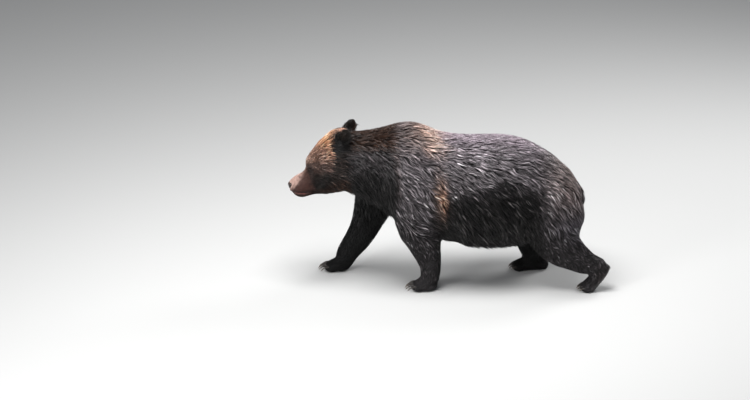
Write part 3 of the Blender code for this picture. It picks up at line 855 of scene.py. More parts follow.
# Soft spots of the face, both sides: height, place and radii in the skull's axes (a, out, b).
FACE_FOLDS = (
    (-0.0045, (0.165, 0.066, 0.060), (0.022, 0.020, 0.022)),  # before the eye
    (0.0050, (0.205, 0.064, 0.100), (0.024, 0.022, 0.014)),  # brow
    (-0.0110, (0.138, 0.0, 0.050), (0.042, 0.046, 0.050)),  # root of the muzzle
    (0.0080, (0.182, 0.034, 0.104), (0.022, 0.044, 0.022)),  # forehead over it
    (0.0030, (0.190, 0.085, 0.044), (0.022, 0.020, 0.010)),  # cheekbone
    (0.0030, (0.045, 0.032, -0.026), (0.024, 0.020, 0.016)),  # whisker pad
)


@dataclass
class Skin:
    """One skin over every fleshy part, lying under the coat by its depth."""

    voxel: float = 0.0110
    swell: float = 0.0012  # makes neighbouring solids overlap
    sample: float = 0.010  # spacing of the spots that tell which solid is nearest
    trunk_depth: float = 0.022
    neck_depth: float = 0.022
    ear_depth: float = 0.0054
    tail_depth: float = 0.020
    paw_depth: float = 0.0045
    leg_depth: tuple[float, float] = (0.007, 0.018)
    face_depth: tuple[tuple[float, ...], tuple[float, ...]] = (  # by a, from the nose back
        (0.0, 0.09, 0.14, 0.19, 0.26, 0.33, 0.42), (0.001, 0.0022, 0.004, 0.006, 0.009, 0.012, 0.018))
    least_depth: float = 0.001
    floor: float = 0.0
    eye_rim: float = 0.0132
    socket: float = 0.009
    shade: float = 0.72  # how much darker the skin is under deep fur
    raised_sole: tuple[float, float, float] = (0.787, 0.0, -0.618)  # way it faces

    def fused(self) -> bpy.types.Mesh:
        """The fleshy nodes, each a little swollen, as one closed mesh of even squares."""
        points, triangles, start = [], [], 0
        for name in FLESH:
            part = Surface.welded(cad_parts[name].data)
            points.append(part.points + part.normals() * self.swell)
            triangles.append(part.triangles + start)
            start += len(part.points)
        mesh = mesh_of("flesh", np.vstack(points), np.vstack(triangles))
        holder = bpy.data.objects.new("flesh", mesh)
        bpy.context.scene.collection.objects.link(holder)
        remesh = holder.modifiers.new("Remesh", "REMESH")
        remesh.mode, remesh.voxel_size = "VOXEL", self.voxel
        graph = bpy.context.evaluated_depsgraph_get()
        fused = bpy.data.meshes.new_from_object(holder.evaluated_get(graph))
        bpy.data.objects.remove(holder)
        bpy.data.meshes.remove(mesh)
        return fused

    @staticmethod
    def finer(mesh: bpy.types.Mesh, chosen: Callable[[Array], Array]) -> None:
        """Halves the squares of a mesh where chosen is true, after smoothing it.

        Args:
            mesh: the mesh, changed in place.
            chosen: says of an array of places which are to be finer.
        """
        surface = Surface.of(mesh)
        surface.relax(6)
        mesh.vertices.foreach_set("co", surface.points.ravel())
        inside = chosen(surface.points)
        shape = bmesh.new()
        shape.from_mesh(mesh)
        shape.verts.ensure_lookup_table()
        both = inside[surface.edges].all(1)
        shape.edges.ensure_lookup_table()
        edges = [shape.edges[k] for k in np.flatnonzero(both)]
        bmesh.ops.subdivide_edges(shape, edges=edges, cuts=1, use_grid_fill=True)
        bmesh.ops.triangulate(shape, faces=[f for f in shape.faces if len(f.verts) > 4])
        shape.to_mesh(mesh)
        shape.free()

    @staticmethod
    def near_head(points: Array) -> Array:
        """Where the head, ears and paws want finer squares."""
        return (points[:, 0] < -0.66) & (points[:, 2] > 0.5) | (points[:, 2] < 0.07)

    @staticmethod
    def near_face(points: Array) -> Array:
        """Where the muzzle and the eyes want the finest squares."""
        a, _, _ = SKULL.axes(points)
        return (a < 0.225) & (points[:, 2] > 0.5)

    @staticmethod
    def near_lips(points: Array) -> Array:
        """The band along the lips and the rims of the eyes, which want squares finer still."""
        a, _, b = SKULL.axes(points)
        gap = mouth_gap(a, b)
        lips = (a < 0.130) & (gap > -0.011) & (gap < 0.010) & (points[:, 2] > 0.5)
        return lips | (from_eyes(points) < 0.022)

    def pad_at(self, points: Array, normals: Array) -> Array:
        """Where the raised foot's pad shows, which has no fur."""
        raised = rise(0.05, 0.45, normals @ self.raised_sole) * rise(0.91, 0.93, points[:, 0])
        return raised * rise(0.0, -0.1, points[:, 1]) * rise(0.185, 0.165, points[:, 2])

    @staticmethod
    def near_pad(points: Array) -> Array:
        """Round the raised foot's pad, whose creases want smaller squares."""
        return (points[:, 0] > 0.93) & (points[:, 1] < -0.05) & (points[:, 2] < 0.20)

    def belonging(self, points: Array) -> Array:
        """Which fleshy node each point is nearest to, as rows of a single one among zeros."""
        rng = np.random.default_rng(SEED)
        spots, owners = [], []
        for number, name in enumerate(FLESH):
            part = Surface.welded(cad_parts[name].data)
            chosen, weights = part.scatter(self.sample, np.ones(len(part.points)), rng)
            spots.append(part.at(part.points, chosen, weights))
            owners.append(np.full(len(chosen), number))
        nearest = Lookup(np.vstack(spots)).nearest(points)
        return np.eye(len(FLESH))[np.concatenate(owners)[nearest]]

    def depth_at(self, points: Array, belong: Array) -> Array:
        """How deep the coat is: each node's own rule, mixed by how far a point belongs to it."""
        a, _, b = SKULL.axes(points)
        cheek = rise(0.15, 0.30, a) * rise(0.08, -0.05, b)
        face = np.interp(a, *self.face_depth) * (1.0 + 0.6 * cheek)
        face = np.maximum(face * rise(0.010, 0.045, from_eyes(points)), self.least_depth)
        leg = mix(*self.leg_depth, rise(0.22, 0.58, points[:, 2]))
        rules = {"trunk": self.trunk_depth, "neck": self.neck_depth, "head": face, "jaw": face,
                 "nose": self.least_depth, "tail": self.tail_depth}
        depth = np.zeros(len(points))
        for number, name in enumerate(FLESH):
            rule = rules.get(name, leg if name in LEGS else self.paw_depth)
            depth += belong[:, number] * (self.ear_depth if name.startswith("ear") else rule)
        return depth

    def bare_at(self, points: Array, normals: Array) -> Array:
        """Where no tuft grows: nose, lips, eyes, the soles and the raised foot's pad."""
        a, _, b = SKULL.axes(points)
        bare = rise(1.16, 1.06, Nose().share(points)) * rise(0.038, 0.032, a)
        gap = mouth_gap(a, b)
        loose = 0.010 + 0.010 * rise(0.025, 0.035, a) * rise(0.105, 0.080, a)
        lips = rise(0.120, 0.108, a) * rise(-loose - 0.003, -loose, gap) * rise(0.004, 0.001, gap)
        bare = np.maximum(bare, lips)
        for side in Side:
            offset = points - eye_centre(side)
            away = np.linalg.norm(offset, axis=1)
            edge = np.degrees(EyeSet(side).beyond(offset / away[:, None]))
            bare = np.maximum(bare, rise(15, 10, edge) * rise(0.0190, 0.0170, away))
        bare = np.maximum(bare, rise(-0.35, -0.75, normals[:, 2]) * rise(0.06, 0.04, points[:, 2]))
        return np.maximum(bare, self.pad_at(points, normals))

    @staticmethod
    def trim_at(points: Array) -> Array:
        """How much shorter tufts are than their depth alone would have it: by eyes and ears."""
        ears = [np.linalg.norm(points - middle_of(f"ear_{side.word}"), axis=1) for side in Side]
        by_ears = 0.50 + 0.50 * rise(0.055, 0.085, np.min(ears, axis=0))
        return (0.30 + 0.70 * rise(0.016, 0.05, from_eyes(points))) * by_ears

    @staticmethod
    def coarse_at(points: Array) -> Array:
        """How much wider tufts stand than their depth alone would have it: most on the legs."""
        return 1.0 + 0.55 * rise(0.50, 0.36, points[:, 2])

    @staticmethod
    def hang_at(points: Array, normals: Array, belong: Array) -> Array:
        """Where wet hair hangs free: under the belly, chest and throat, and behind the limbs."""
        def share(*names: str) -> Array:
            """How far the points belong to any of these nodes."""
            return belong[:, [FLESH.index(name) for name in names]].sum(1)

        facing_down = rise(0.15, -0.55, normals[:, 2])
        under = facing_down * share("trunk", "neck")
        limbs = share(*LEGS[:2]) + 0.5 * share(*LEGS[2:])
        behind = rise(0.1, 0.8, normals[:, 0]) * limbs * rise(0.14, 0.25, points[:, 2])
        chin = facing_down * share("head") * rise(-0.90, -0.78, points[:, 0])
        return np.clip(under + 0.8 * behind + 0.7 * chin, 0, 1)

    def shaped(self, points: Array, normals: Array) -> Array:
        """The folds of face and pad: dents and swellings along the normal, then the eyes' rims.

        Each fold is a soft spot or a soft line in the skull's axes times its height. Behind
        the nose pad the skin shrinks towards the pad's middle. Round an eye the skin is drawn
        onto a ball a little larger than it, and inside the lids' opening into the socket.
        """
        a, y, b = SKULL.axes(points)
        own = np.stack([a, np.abs(y), b], -1)
        gap = mouth_gap(a, b)
        mouth = rise(0.122, 0.098, a)
        brow = rise(0.13, 0.17, a) * rise(0.30, 0.24, a) * rise(0.2, 0.7, normals[:, 2])
        lift = sum(height * blob(own, place, radii) for height, place, radii in FACE_FOLDS)
        lift += (
            -0.0035 * bell(y, 0.012) * brow
            + 0.0034 * bell(gap - 0.0055, 0.0050) * mouth
            - 0.0042 * bell(gap + 0.0016, 0.0022) * mouth
            + 0.0014 * bell(gap + 0.0100, 0.006) * mouth * rise(0.02, 0.04, a)
            - 0.0025 * bell(y, 0.0020) * rise(0.03, 0.01, a) * rise(0.0, 0.004, gap)
        )
        broad = 0.0035 * bell(ripple(points, 0.060, 41), 0.16)  # the pad's creases
        fine = 0.0015 * bell(ripple(points, 0.030, 42), 0.20)
        lift += self.pad_at(points, normals) * (0.0025 - broad - fine)
        points = points + normals * lift[:, None]
        pad = Nose()
        sunk = 1.0 - 0.50 * rise(1.13, 1.00, pad.share(points)) * rise(0.044, 0.036, a)
        points = mix(SKULL.place(pad.centre), points, sunk[:, None])
        for side in Side:
            centre = eye_centre(side)
            offset = points - centre
            away = np.linalg.norm(offset, axis=1, keepdims=True)
            target = mix(self.eye_rim, away, rise(0.014, 0.027, away))
            inside = rise(1.06, 0.98, EyeSet(side).opening_share(unit(offset)))[:, None]
            target = mix(target, self.socket, inside * rise(0.020, 0.017, away))
            points = centre + offset / np.maximum(away, 1e-6) * target
        points[:, 2] = np.maximum(points[:, 2], self.floor)
        return points

    def build(self, finishes: Finishes, markings: Markings) -> bpy.types.Object:
        """Makes the skin and keeps its arrays for the coat.

        Args:
            finishes: the bear's finishes.
            markings: the bear's colours.

        Returns:
            The skin's piece.
        """
        mesh = self.fused()
        for near in (self.near_head, self.near_face, self.near_lips, self.near_pad):
            self.finer(mesh, near)
        surface = Surface.of(mesh)
        surface.relax(3)
        belong = surface.soften(self.belonging(surface.points), 14)
        normals = surface.normals()
        bare = self.bare_at(surface.points, normals)
        depth = self.depth_at(surface.points, belong)
        surface.points = surface.points - normals * (depth * (1 - 0.8 * bare))[:, None]
        surface.relax(3)
        surface.points = self.shaped(surface.points, surface.normals())
        self.surface, self.belong, self.bare = surface, belong, bare
        self.depth = np.maximum(depth, self.least_depth)
        self.normals = unit(surface.soften(surface.normals(), 2))
        self.lie = Lie().along(surface.points, self.normals)
        self.coarse = self.coarse_at(surface.points)
        self.trim = self.trim_at(surface.points)
        self.hang = self.hang_at(surface.points, self.normals, belong)
        self.lookup = Lookup(surface.points)
        outer = surface.points + self.normals * depth[:, None]
        tint = markings.colour(outer, depth)
        hidden = 1 - self.shade * rise(0.004, 0.012, depth) * (1 - bare)
        mesh.vertices.foreach_set("co", surface.points.ravel())
        mesh.polygons.foreach_set("use_smooth", np.ones(len(mesh.polygons), dtype=bool))
        set_tint(mesh, tint * hidden[:, None])
        mesh.name = "skin"
        return place_piece(mesh, finishes.skin, [name for name in FLESH if name != "nose"])


# ---------------------------------------------------------------- coat


@dataclass(frozen=True)
class Layer:
    """One kind of tuft; its measures are metres plus a share of the coat's depth there."""

    name: str
    spacing: tuple[float, float]
    length: tuple[float, float]
    width: tuple[float, float]
    rings: int
    depths: tuple[float, float]  # grows where the coat is between these deep
    clump: float  # how far tips are drawn together
    rise: tuple[float, float]  # least and most height, in depths
    tone: float = 1.0

    @staticmethod
    def of(rule: tuple[float, float], depth: Array) -> Array:
        """A length from its fixed part and its share of the depth."""
        return rule[0] + rule[1] * depth


LAYERS = (
    Layer("locks", (0.0035, 0.47), (0.014, 3.4), (0.0010, 0.19),
          6, (0.011, 1.0), 0.80, (0.62, 1.02)),
    # strands are made 1.5 times lighter as painted glints of wet hair
    Layer("strands", (0.0050, 0.44), (0.012, 2.9), (0.0008, 0.05),
          4, (0.011, 1.0), 0.72, (0.90, 1.14), 1.5),
    Layer("short locks", (0.0020, 0.40), (0.004, 2.9), (0.0006, 0.10),
          5, (0.0055, 0.011), 0.60, (0.7, 1.1)),
    Layer("down", (0.0017, 0.28), (0.0045, 2.6), (0.0004, 0.065),
          3, (0.0, 0.0055), 0.30, (0.4, 0.9)),
)


@dataclass
class Coat:
    """Tufts that grow from the skin and lie along it."""

    skin: Skin
    markings: Markings
    finish: bpy.types.Material
    gather: float = 1.55  # clumps stand this many spacings apart
    inertia: float = 0.4  # share of its old heading that a tuft keeps at each ring
    wave: float = 0.040  # sideways sway, in lengths
    beats: float = 1.3  # waves along a tuft
    droop: float = 0.22
    uneven_length: tuple[float, float] = (0.72, 1.18)
    uneven_width: tuple[float, float] = (0.7, 1.3)
    uneven_draw: tuple[float, float] = (0.8, 1.15)
    uneven_fall: tuple[float, float] = (0.5, 1.3)
    clump_mood: float = 0.50  # how far a clump is lighter or darker as one
    own_mood: float = 0.90
    # painted glints: how much lighter the brightest locks are made
    painted_glint: float = 1.6
    section: tuple[float, float, float] = (-25.0, 90.0, 205.0)  # degrees of a tuft's corners
    flatness: float = 0.62
    lie_room: float = 40.0  # tufts start anywhere this far along the streak map
    lie_scale: float = 0.02  # metres of a tuft to one unit of that map
    flank_from: float = 0.02  # x where shoulder pieces end
    face_to: float = 0.20  # a where the face's piece ends

    def regions(self) -> dict[str, Array]:
        """The coat's pieces: name, and which skin points are theirs."""
        names = np.array(FLESH)[self.skin.belong.argmax(1)]
        points = self.skin.surface.points
        left = points[:, 1] < 0
        front = points[:, 0] < self.flank_from
        trunk = np.isin(names, ("trunk", "tail"))
        head = np.isin(names, ("head", "jaw", "nose"))
        face = SKULL.axes(points)[0] < self.face_to
        pieces = {
            "coat_face": head & face,
            "coat_head_left": head & ~face & left,
            "coat_head_right": head & ~face & ~left,
            "coat_neck": names == "neck",
            "coat_shoulder_left": trunk & front & left,
            "coat_shoulder_right": trunk & front & ~left,
            "coat_flank_left": trunk & ~front & left,
            "coat_flank_right": trunk & ~front & ~left,
        }
        for side in Side:
            word = side.word
            pieces[f"coat_ear_{word}"] = names == f"ear_{word}"
            for limb in ("fore", "hind"):
                own = (f"{limb}leg_{word}", f"{limb}paw_{word}")
                pieces[f"coat_{limb}leg_{word}"] = np.isin(names, own)
        return pieces

    def walk(self, start: Array, length: Array, rings: int) -> tuple[Array, Array, Array]:
        """Follows the lie of the coat over the skin.

        At each ring the place is dropped onto the plane of the nearest skin point, and the
        next is a step on along that point's heading, mixed with the heading so far.

        Args:
            start: n by 3 roots.
            length: n lengths.
            rings: how many places along each path.

        Returns:
            Paths and normals, rings by n by 3, and the nearest skin points, rings by n.
        """
        skin = self.skin
        path = np.empty((rings, len(start), 3))
        normal = np.empty_like(path)
        index = np.empty((rings, len(start)), dtype=np.int64)
        here, heading = start, None
        for ring in range(rings):
            i = skin.lookup.nearest(here)
            up = skin.normals[i]
            here = here - up * dot(here - skin.surface.points[i], up)
            path[ring], normal[ring], index[ring] = here, up, i
            way = skin.lie[i]
            heading = way if heading is None else (1 - self.inertia) * way + self.inertia * heading
            heading = unit(heading - up * dot(heading, up))
            here = here + heading * (length / (rings - 1))[:, None]
        return path, normal, index

    def paths(self, layer: Layer, share: Array, rng: np.random.Generator) -> dict[str, Array] | None:
        """Middle lines of one layer's tufts.

        Heights over the skin are depth times rise times 1 - (1 - s)^2.3, s running from root
        to tip; tips are then drawn to the tip of their clump by clump times s^1.4, and swayed
        sideways by a sine wave that a clump shares.

        Args:
            layer: the kind of tuft.
            share: which skin points may grow it.
            rng: source of chance.

        Returns:
            Paths, normals, widths, depths and tones of the tufts, or None where none grow.
        """
        surface, skin = self.skin.surface, self.skin
        depth = skin.depth
        room = share * (depth >= layer.depths[0]) * (depth < layer.depths[1]) * (1 - skin.bare)
        if room.sum() < 3:
            return None
        typical = float(np.average(depth, weights=room))
        coarse = float(np.average(skin.coarse, weights=room))
        spacing = float(layer.of(layer.spacing, typical)) * coarse
        chosen, weights = surface.scatter(spacing, room, rng)
        if not len(chosen):
            return None
        root = surface.at(surface.points, chosen, weights)
        deep = surface.at(depth, chosen, weights)
        count = len(root)
        length = layer.of(layer.length, deep) * rng.uniform(*self.uneven_length, count)
        length = length * surface.at(skin.trim, chosen, weights)
        hang = surface.at(skin.hang, chosen, weights)
        middle, middle_weights = surface.scatter(spacing * self.gather, room, rng)
        if len(middle) < 2:
            middle, middle_weights = chosen[:2], weights[:2]
        hub = surface.at(surface.points, middle, middle_weights)
        hub_deep = surface.at(depth, middle, middle_weights)
        hub_path, hub_up, _ = self.walk(hub, layer.of(layer.length, hub_deep), layer.rings)
        mate = Lookup(hub).nearest(root)
        path, up, index = self.walk(root, length, layer.rings)
        s = np.linspace(0, 1, layer.rings)[:, None]
        lift = 1 - (1 - s) ** 2.3
        height = skin.depth[index] * rng.uniform(*layer.rise, count) * lift
        path = path + up * height[..., None]
        hub_height = hub_deep * np.mean(layer.rise) * lift
        hub_path = hub_path + hub_up * hub_height[..., None]
        draw = layer.clump * rng.uniform(*self.uneven_draw, count) * rise(-0.1, 0.85, s)
        path = mix(path, hub_path[:, mate], draw[..., None])
        fall = (hang * rng.uniform(*self.uneven_fall, len(hub))[mate] * length * self.droop) * s**2
        path[..., 2] = np.maximum(path[..., 2] - fall, 0.002)
        along = np.gradient(path, axis=0)
        side = unit(np.cross(up, along))
        phase = rng.uniform(0, 2 * math.pi, len(hub))[mate] + rng.normal(0, 0.5, count)
        sway = self.wave * length * s**0.8 * np.sin(phase + s * 2 * math.pi * self.beats)
        path = path + side * sway[..., None]
        mood = rng.normal(0, 1, len(hub))[mate] * self.clump_mood
        mood = mood + rng.normal(0, 1, count) * self.own_mood
        spread = self.markings.variety(root) * rise(0.0005, 0.006, deep)
        # painted glints: the lightest locks of the dark coat are made lighter still
        painted_glint = 1 + self.painted_glint * rise(0.9, 1.9, mood) * self.markings.painted_glint_share(root)
        return {
            "path": path, "up": up, "deep": deep, "length": length,
            "width": layer.of(layer.width, deep) * rng.uniform(*self.uneven_width, count) * coarse,
            "tone": np.exp(spread * mood - 0.35 * spread**2) * painted_glint * layer.tone,
            "place": path[-2],
        }

    def tufts(self, grown: dict[str, Array], rng: np.random.Generator) -> dict[str, Array]:
        """Solid tufts round their middle lines.

        A section is a low triangle, two corners to the sides and a ridge on top. Its half
        width is the tuft's times (0.55 + 0.45 sin(pi min(1, 1.5 s))) (1 - s^2.5), and the
        last ring is one point.

        Args:
            grown: what paths() returns.
            rng: source of chance.

        Returns:
            Points, triangles, colours and both maps of the tufts.
        """
        path, up = grown["path"], grown["up"]
        rings, count = path.shape[:2]
        k = len(self.section)
        s = np.linspace(0, 1, rings)
        along = unit(np.gradient(path, axis=0))
        side = unit(np.cross(up, along))
        top = np.cross(along, side)
        full = (0.55 + 0.45 * np.sin(math.pi * np.minimum(1, 1.5 * s))) * (1 - s**2.5)
        half = full[:, None] * grown["width"]
        angle = np.radians(self.section)
        across, high = np.cos(angle), np.sin(angle) * self.flatness
        body = (
            path[:-1, :, None]
            + side[:-1, :, None] * (half[:-1, :, None] * across)[..., None]
            + top[:-1, :, None] * (half[:-1, :, None] * high)[..., None]
        )
        each = k * (rings - 1) + 1
        points = np.empty((count, each, 3))
        points[:, :-1] = body.transpose(1, 0, 2, 3).reshape(count, -1, 3)
        points[:, -1] = path[-1]
        tube = lattice(rings - 1, k)
        last = k * (rings - 2)
        ring = np.arange(k)
        tip = np.stack([last + ring, last + (ring + 1) % k, np.full(k, each - 1)], -1)
        one = outward(points[0], np.vstack([tube, tip, [[2, 1, 0]]]))
        triangles = (np.arange(count)[:, None, None] * each + one).reshape(-1, 3)
        share = np.append(np.repeat(s[:-1], k), 1.0)
        lane = np.append(np.tile(ring / k, rings - 1), 0.5)
        colour = self.markings.colour(grown["place"], grown["deep"]) * grown["tone"][:, None]
        full_fur = rise(0.0015, 0.010, grown["deep"])[:, None]
        # painted light and shade on each tuft: darker roots and side corners are painted shade, the
        # lighter ridge and tip a painted highlight
        ridge = np.append(np.tile([0.0, 1.0, 0.0], rings - 1), 0.6)
        painted_light_and_shade = (0.20 + 1.00 * rise(0.0, 0.8, share)) * (0.40 + 1.15 * ridge)
        painted_light_and_shade = mix(1.0, painted_light_and_shade[None], full_fur)
        colours = (colour[:, None] * painted_light_and_shade[..., None]).reshape(-1, 3)
        random = rng.uniform(0, self.lie_room, count)[:, None]
        turned = (grown["length"] / self.lie_scale)[:, None]
        lie = np.stack([random + lane[None], random + share[None] * turned], -1).reshape(-1, 2)
        patch = np.stack([lane - 0.5, share - 0.5], -1) * PATCH
        return {
            "points": points.reshape(-1, 3), "triangles": triangles, "colours": colours,
            "lie": lie, "patch": np.tile(patch, (count, 1)),
            "root": np.repeat(path[0], each, axis=0),
        }

    def unrolled(self, root: Array, inside: Array) -> Array:
        """Roots on an unwrap of the skin under a piece: angle round its own axis, and length.

        The axis is the long direction of that part of the skin through its middle; both
        numbers are spread over the map from 0 to 1.

        Args:
            root: n by 3 places.
            inside: which skin points are the piece's.

        Returns:
            n by 2 map places.
        """
        own = self.skin.surface.points[inside]
        middle = own.mean(0)
        _, _, axes = np.linalg.svd(own - middle, full_matrices=False)
        angle, length = self.rolled(root - middle, axes)
        angles, lengths = self.rolled(own - middle, axes)
        u = (angle - angles.min()) / max(np.ptp(angles), 1e-6)
        v = (length - lengths.min()) / max(np.ptp(lengths), 1e-6)
        return np.clip(np.stack([u, v], -1), 0, 1) * (1 - 2 * PATCH) + PATCH

    @staticmethod
    def rolled(offsets: Array, axes: Array) -> tuple[Array, Array]:
        """Angle about the first axis and distance along it."""
        own = offsets @ axes.T
        return np.arctan2(own[:, 2], own[:, 1]), own[:, 0]

    def build(self) -> list[bpy.types.Object]:
        """Grows every region's layers and joins each region into one piece.

        Returns:
            The coat's pieces.
        """
        made, total = [], 0
        for number, (name, inside) in enumerate(self.regions().items()):
            rng = np.random.default_rng(SEED + number)
            batches = []
            for layer in LAYERS:
                grown = self.paths(layer, inside.astype(float), rng)
                if grown is not None:
                    batches.append(self.tufts(grown, rng))
            if not batches:
                continue
            starts = np.cumsum([0] + [len(b["points"]) for b in batches[:-1]])
            joined = {key: np.vstack([b[key] for b in batches])
                      for key in ("points", "colours", "lie", "patch", "root")}
            triangles = np.vstack([b["triangles"] + s for b, s in zip(batches, starts)])
            mesh = mesh_of(name, joined["points"], triangles)
            set_tint(mesh, joined["colours"])
            corner = triangles.ravel()
            bake = self.unrolled(joined["root"], inside) + joined["patch"]
            set_map(mesh, BAKE_MAP, np.clip(bake, 0, 1)[corner])
            set_map(mesh, LIE_MAP, joined["lie"][corner])
            made.append(place_piece(mesh, self.finish))
            total += len(triangles)
        LOG.info("coat: %d triangles in %d pieces", total, len(made))
        return made


# ---------------------------------------------------------------- eyes, nose, claws


@dataclass(frozen=True)
class EyeSet:
    """One eyeball and the lids round it."""

    side: Side
    corner: float = 54.0  # half the opening's width, degrees
    upper: float = 30.0
    lower: float = 26.0
    point: float = 1.55  # how pointed the opening's corners are
    cornea: float = 0.0008
    ball_grid: tuple[int, int] = (56, 48)
    pole: float = 0.012  # angle of the ball's first ring
    lid_columns: int = 96
    lid_shade: float = 0.6
    lid_section: tuple[tuple[float, float], ...] = (  # degrees past the opening, metres off the ball
        (0, 0.0002), (-1.5, 0.0006), (-1.2, 0.0012), (1, 0.0017), (4, 0.0019), (8, 0.0017),
        (12, 0.0013), (16, 0.0008), (20, 0.0003), (24, -0.0006), (16, -0.0004), (8, 0.0),
    )
    margin: tuple[int, int, int] = (22, 16, 14)

    @property
    def axes(self) -> Array:
        """Rows: gaze, along the opening to the back, and up across it."""
        gaze = unit(np.array([-0.66, self.side.value * 0.74, 0.10]))
        back = SKULL.head(np.array([1.0, 0.0, 0.22]))
        back = unit(back - gaze * (back @ gaze))
        up = np.cross(gaze, back)
        return np.stack([gaze, back, up if up[2] > 0 else -up])

    @property
    def radius(self) -> float:
        """The ball's radius, from its node's box."""
        low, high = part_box(f"eye_{self.side.word}")
        return (high[2] - low[2]) / 2

    def opening(self, turn: Array) -> Array:
        """Angle from the gaze to the lids' edge, by the turn round it.

        A pointed oval: one over the p-th root of the sum of the p-th powers of the turn's
        cosine over the half width and its sine over the half height.
        """
        high = np.where(np.sin(turn) > 0, self.upper, self.lower)
        wide = (np.abs(np.cos(turn)) / self.corner) ** self.point
        tall = (np.abs(np.sin(turn)) / high) ** self.point
        return np.radians((wide + tall) ** (-1 / self.point))

    def seen(self, headings: Array) -> tuple[Array, Array]:
        """Angles from the gaze to headings from the eye, and to the opening's edge on the same turn."""
        own = headings @ self.axes.T
        away = np.arccos(np.clip(own[..., 0], -1, 1))
        return away, self.opening(np.arctan2(own[..., 2], own[..., 1]))

    def opening_share(self, headings: Array) -> Array:
        """How far headings from the eye lie out, in shares of the opening's angle."""
        away, edge = self.seen(headings)
        return away / edge

    def beyond(self, headings: Array) -> Array:
        """Angle from the opening's edge out to headings from the eye, less than zero inside it."""
        away, edge = self.seen(headings)
        return away - edge

    def sphere_points(self, away: Array, turn: Array, reach: Array) -> Array:
        """Points at angles from the gaze, turns round it and distances from the ball's middle."""
        own = np.stack([np.cos(away), np.sin(away) * np.cos(turn), np.sin(away) * np.sin(turn)], -1)
        return eye_centre(self.side) + (own * reach[..., None]) @ self.axes

    def ball(self, finish: bpy.types.Material) -> bpy.types.Object:
        """The eyeball: a sphere whose front swells by the cornea, pupil and iris in its tint."""
        rows, columns = self.ball_grid
        away = np.linspace(self.pole, math.pi - self.pole, rows)[:, None]
        swell = self.radius + self.cornea * rise(0.75, 0.2, away)
        away, turn, reach = np.broadcast_arrays(away, turns(columns)[None], swell)
        grid = self.sphere_points(away, turn, reach).reshape(-1, 3)
        points = np.vstack([grid, grid[:columns].mean(0), grid[-columns:].mean(0)])
        mesh = mesh_of(f"eye_{self.side.word}_ball", points, outward(points, capped(rows, columns)))
        angle = np.append(away.ravel(), [0, math.pi])[:, None]
        spin = np.append(turn.ravel(), [0, 0])[:, None]
        colour = paint(44, 27, 17) * (1 + 0.25 * np.sin(spin * 23))  # iris
        colour = mix(colour, paint(4, 3, 3), rise(0.27, 0.23, angle))  # pupil
        colour = mix(colour, paint(14, 9, 8), rise(0.56, 0.62, angle))  # dark ring
        colour = mix(colour, paint(46, 34, 30), rise(0.75, 0.85, angle))  # white
        set_tint(mesh, colour)
        return place_piece(mesh, finish, [f"eye_{self.side.word}"])

    def lids(self, finish: bpy.types.Material, markings: Markings) -> bpy.types.Object:
        """Both lids as one closed ring round the opening.

        Its section runs from the ball over a rounded margin and out under the fur, at
        angles beyond the opening and distances beyond the ball given in its table.
        """
        table, rows, columns = np.array(self.lid_section), len(self.lid_section), self.lid_columns
        turn = turns(columns)[None]
        away = self.opening(turn) + np.radians(table[:, :1])
        heavy = 1 + 0.25 * np.sin(turn).clip(0)
        reach = self.radius + table[:, 1:] * heavy
        away, turn, reach = np.broadcast_arrays(away, turn, reach)
        points = self.sphere_points(away, turn, reach).reshape(-1, 3)
        loop = outward(points, lattice(rows, columns, ring=True))
        mesh = mesh_of(f"eye_{self.side.word}_lids", points, loop)
        rim = np.repeat(rise(7, 15, table[:, 0]), columns)[:, None]
        fur = markings.colour(points, np.zeros(len(points))) * self.lid_shade
        set_tint(mesh, mix(paint(*self.margin), fur, rim))
        return place_piece(mesh, finish)


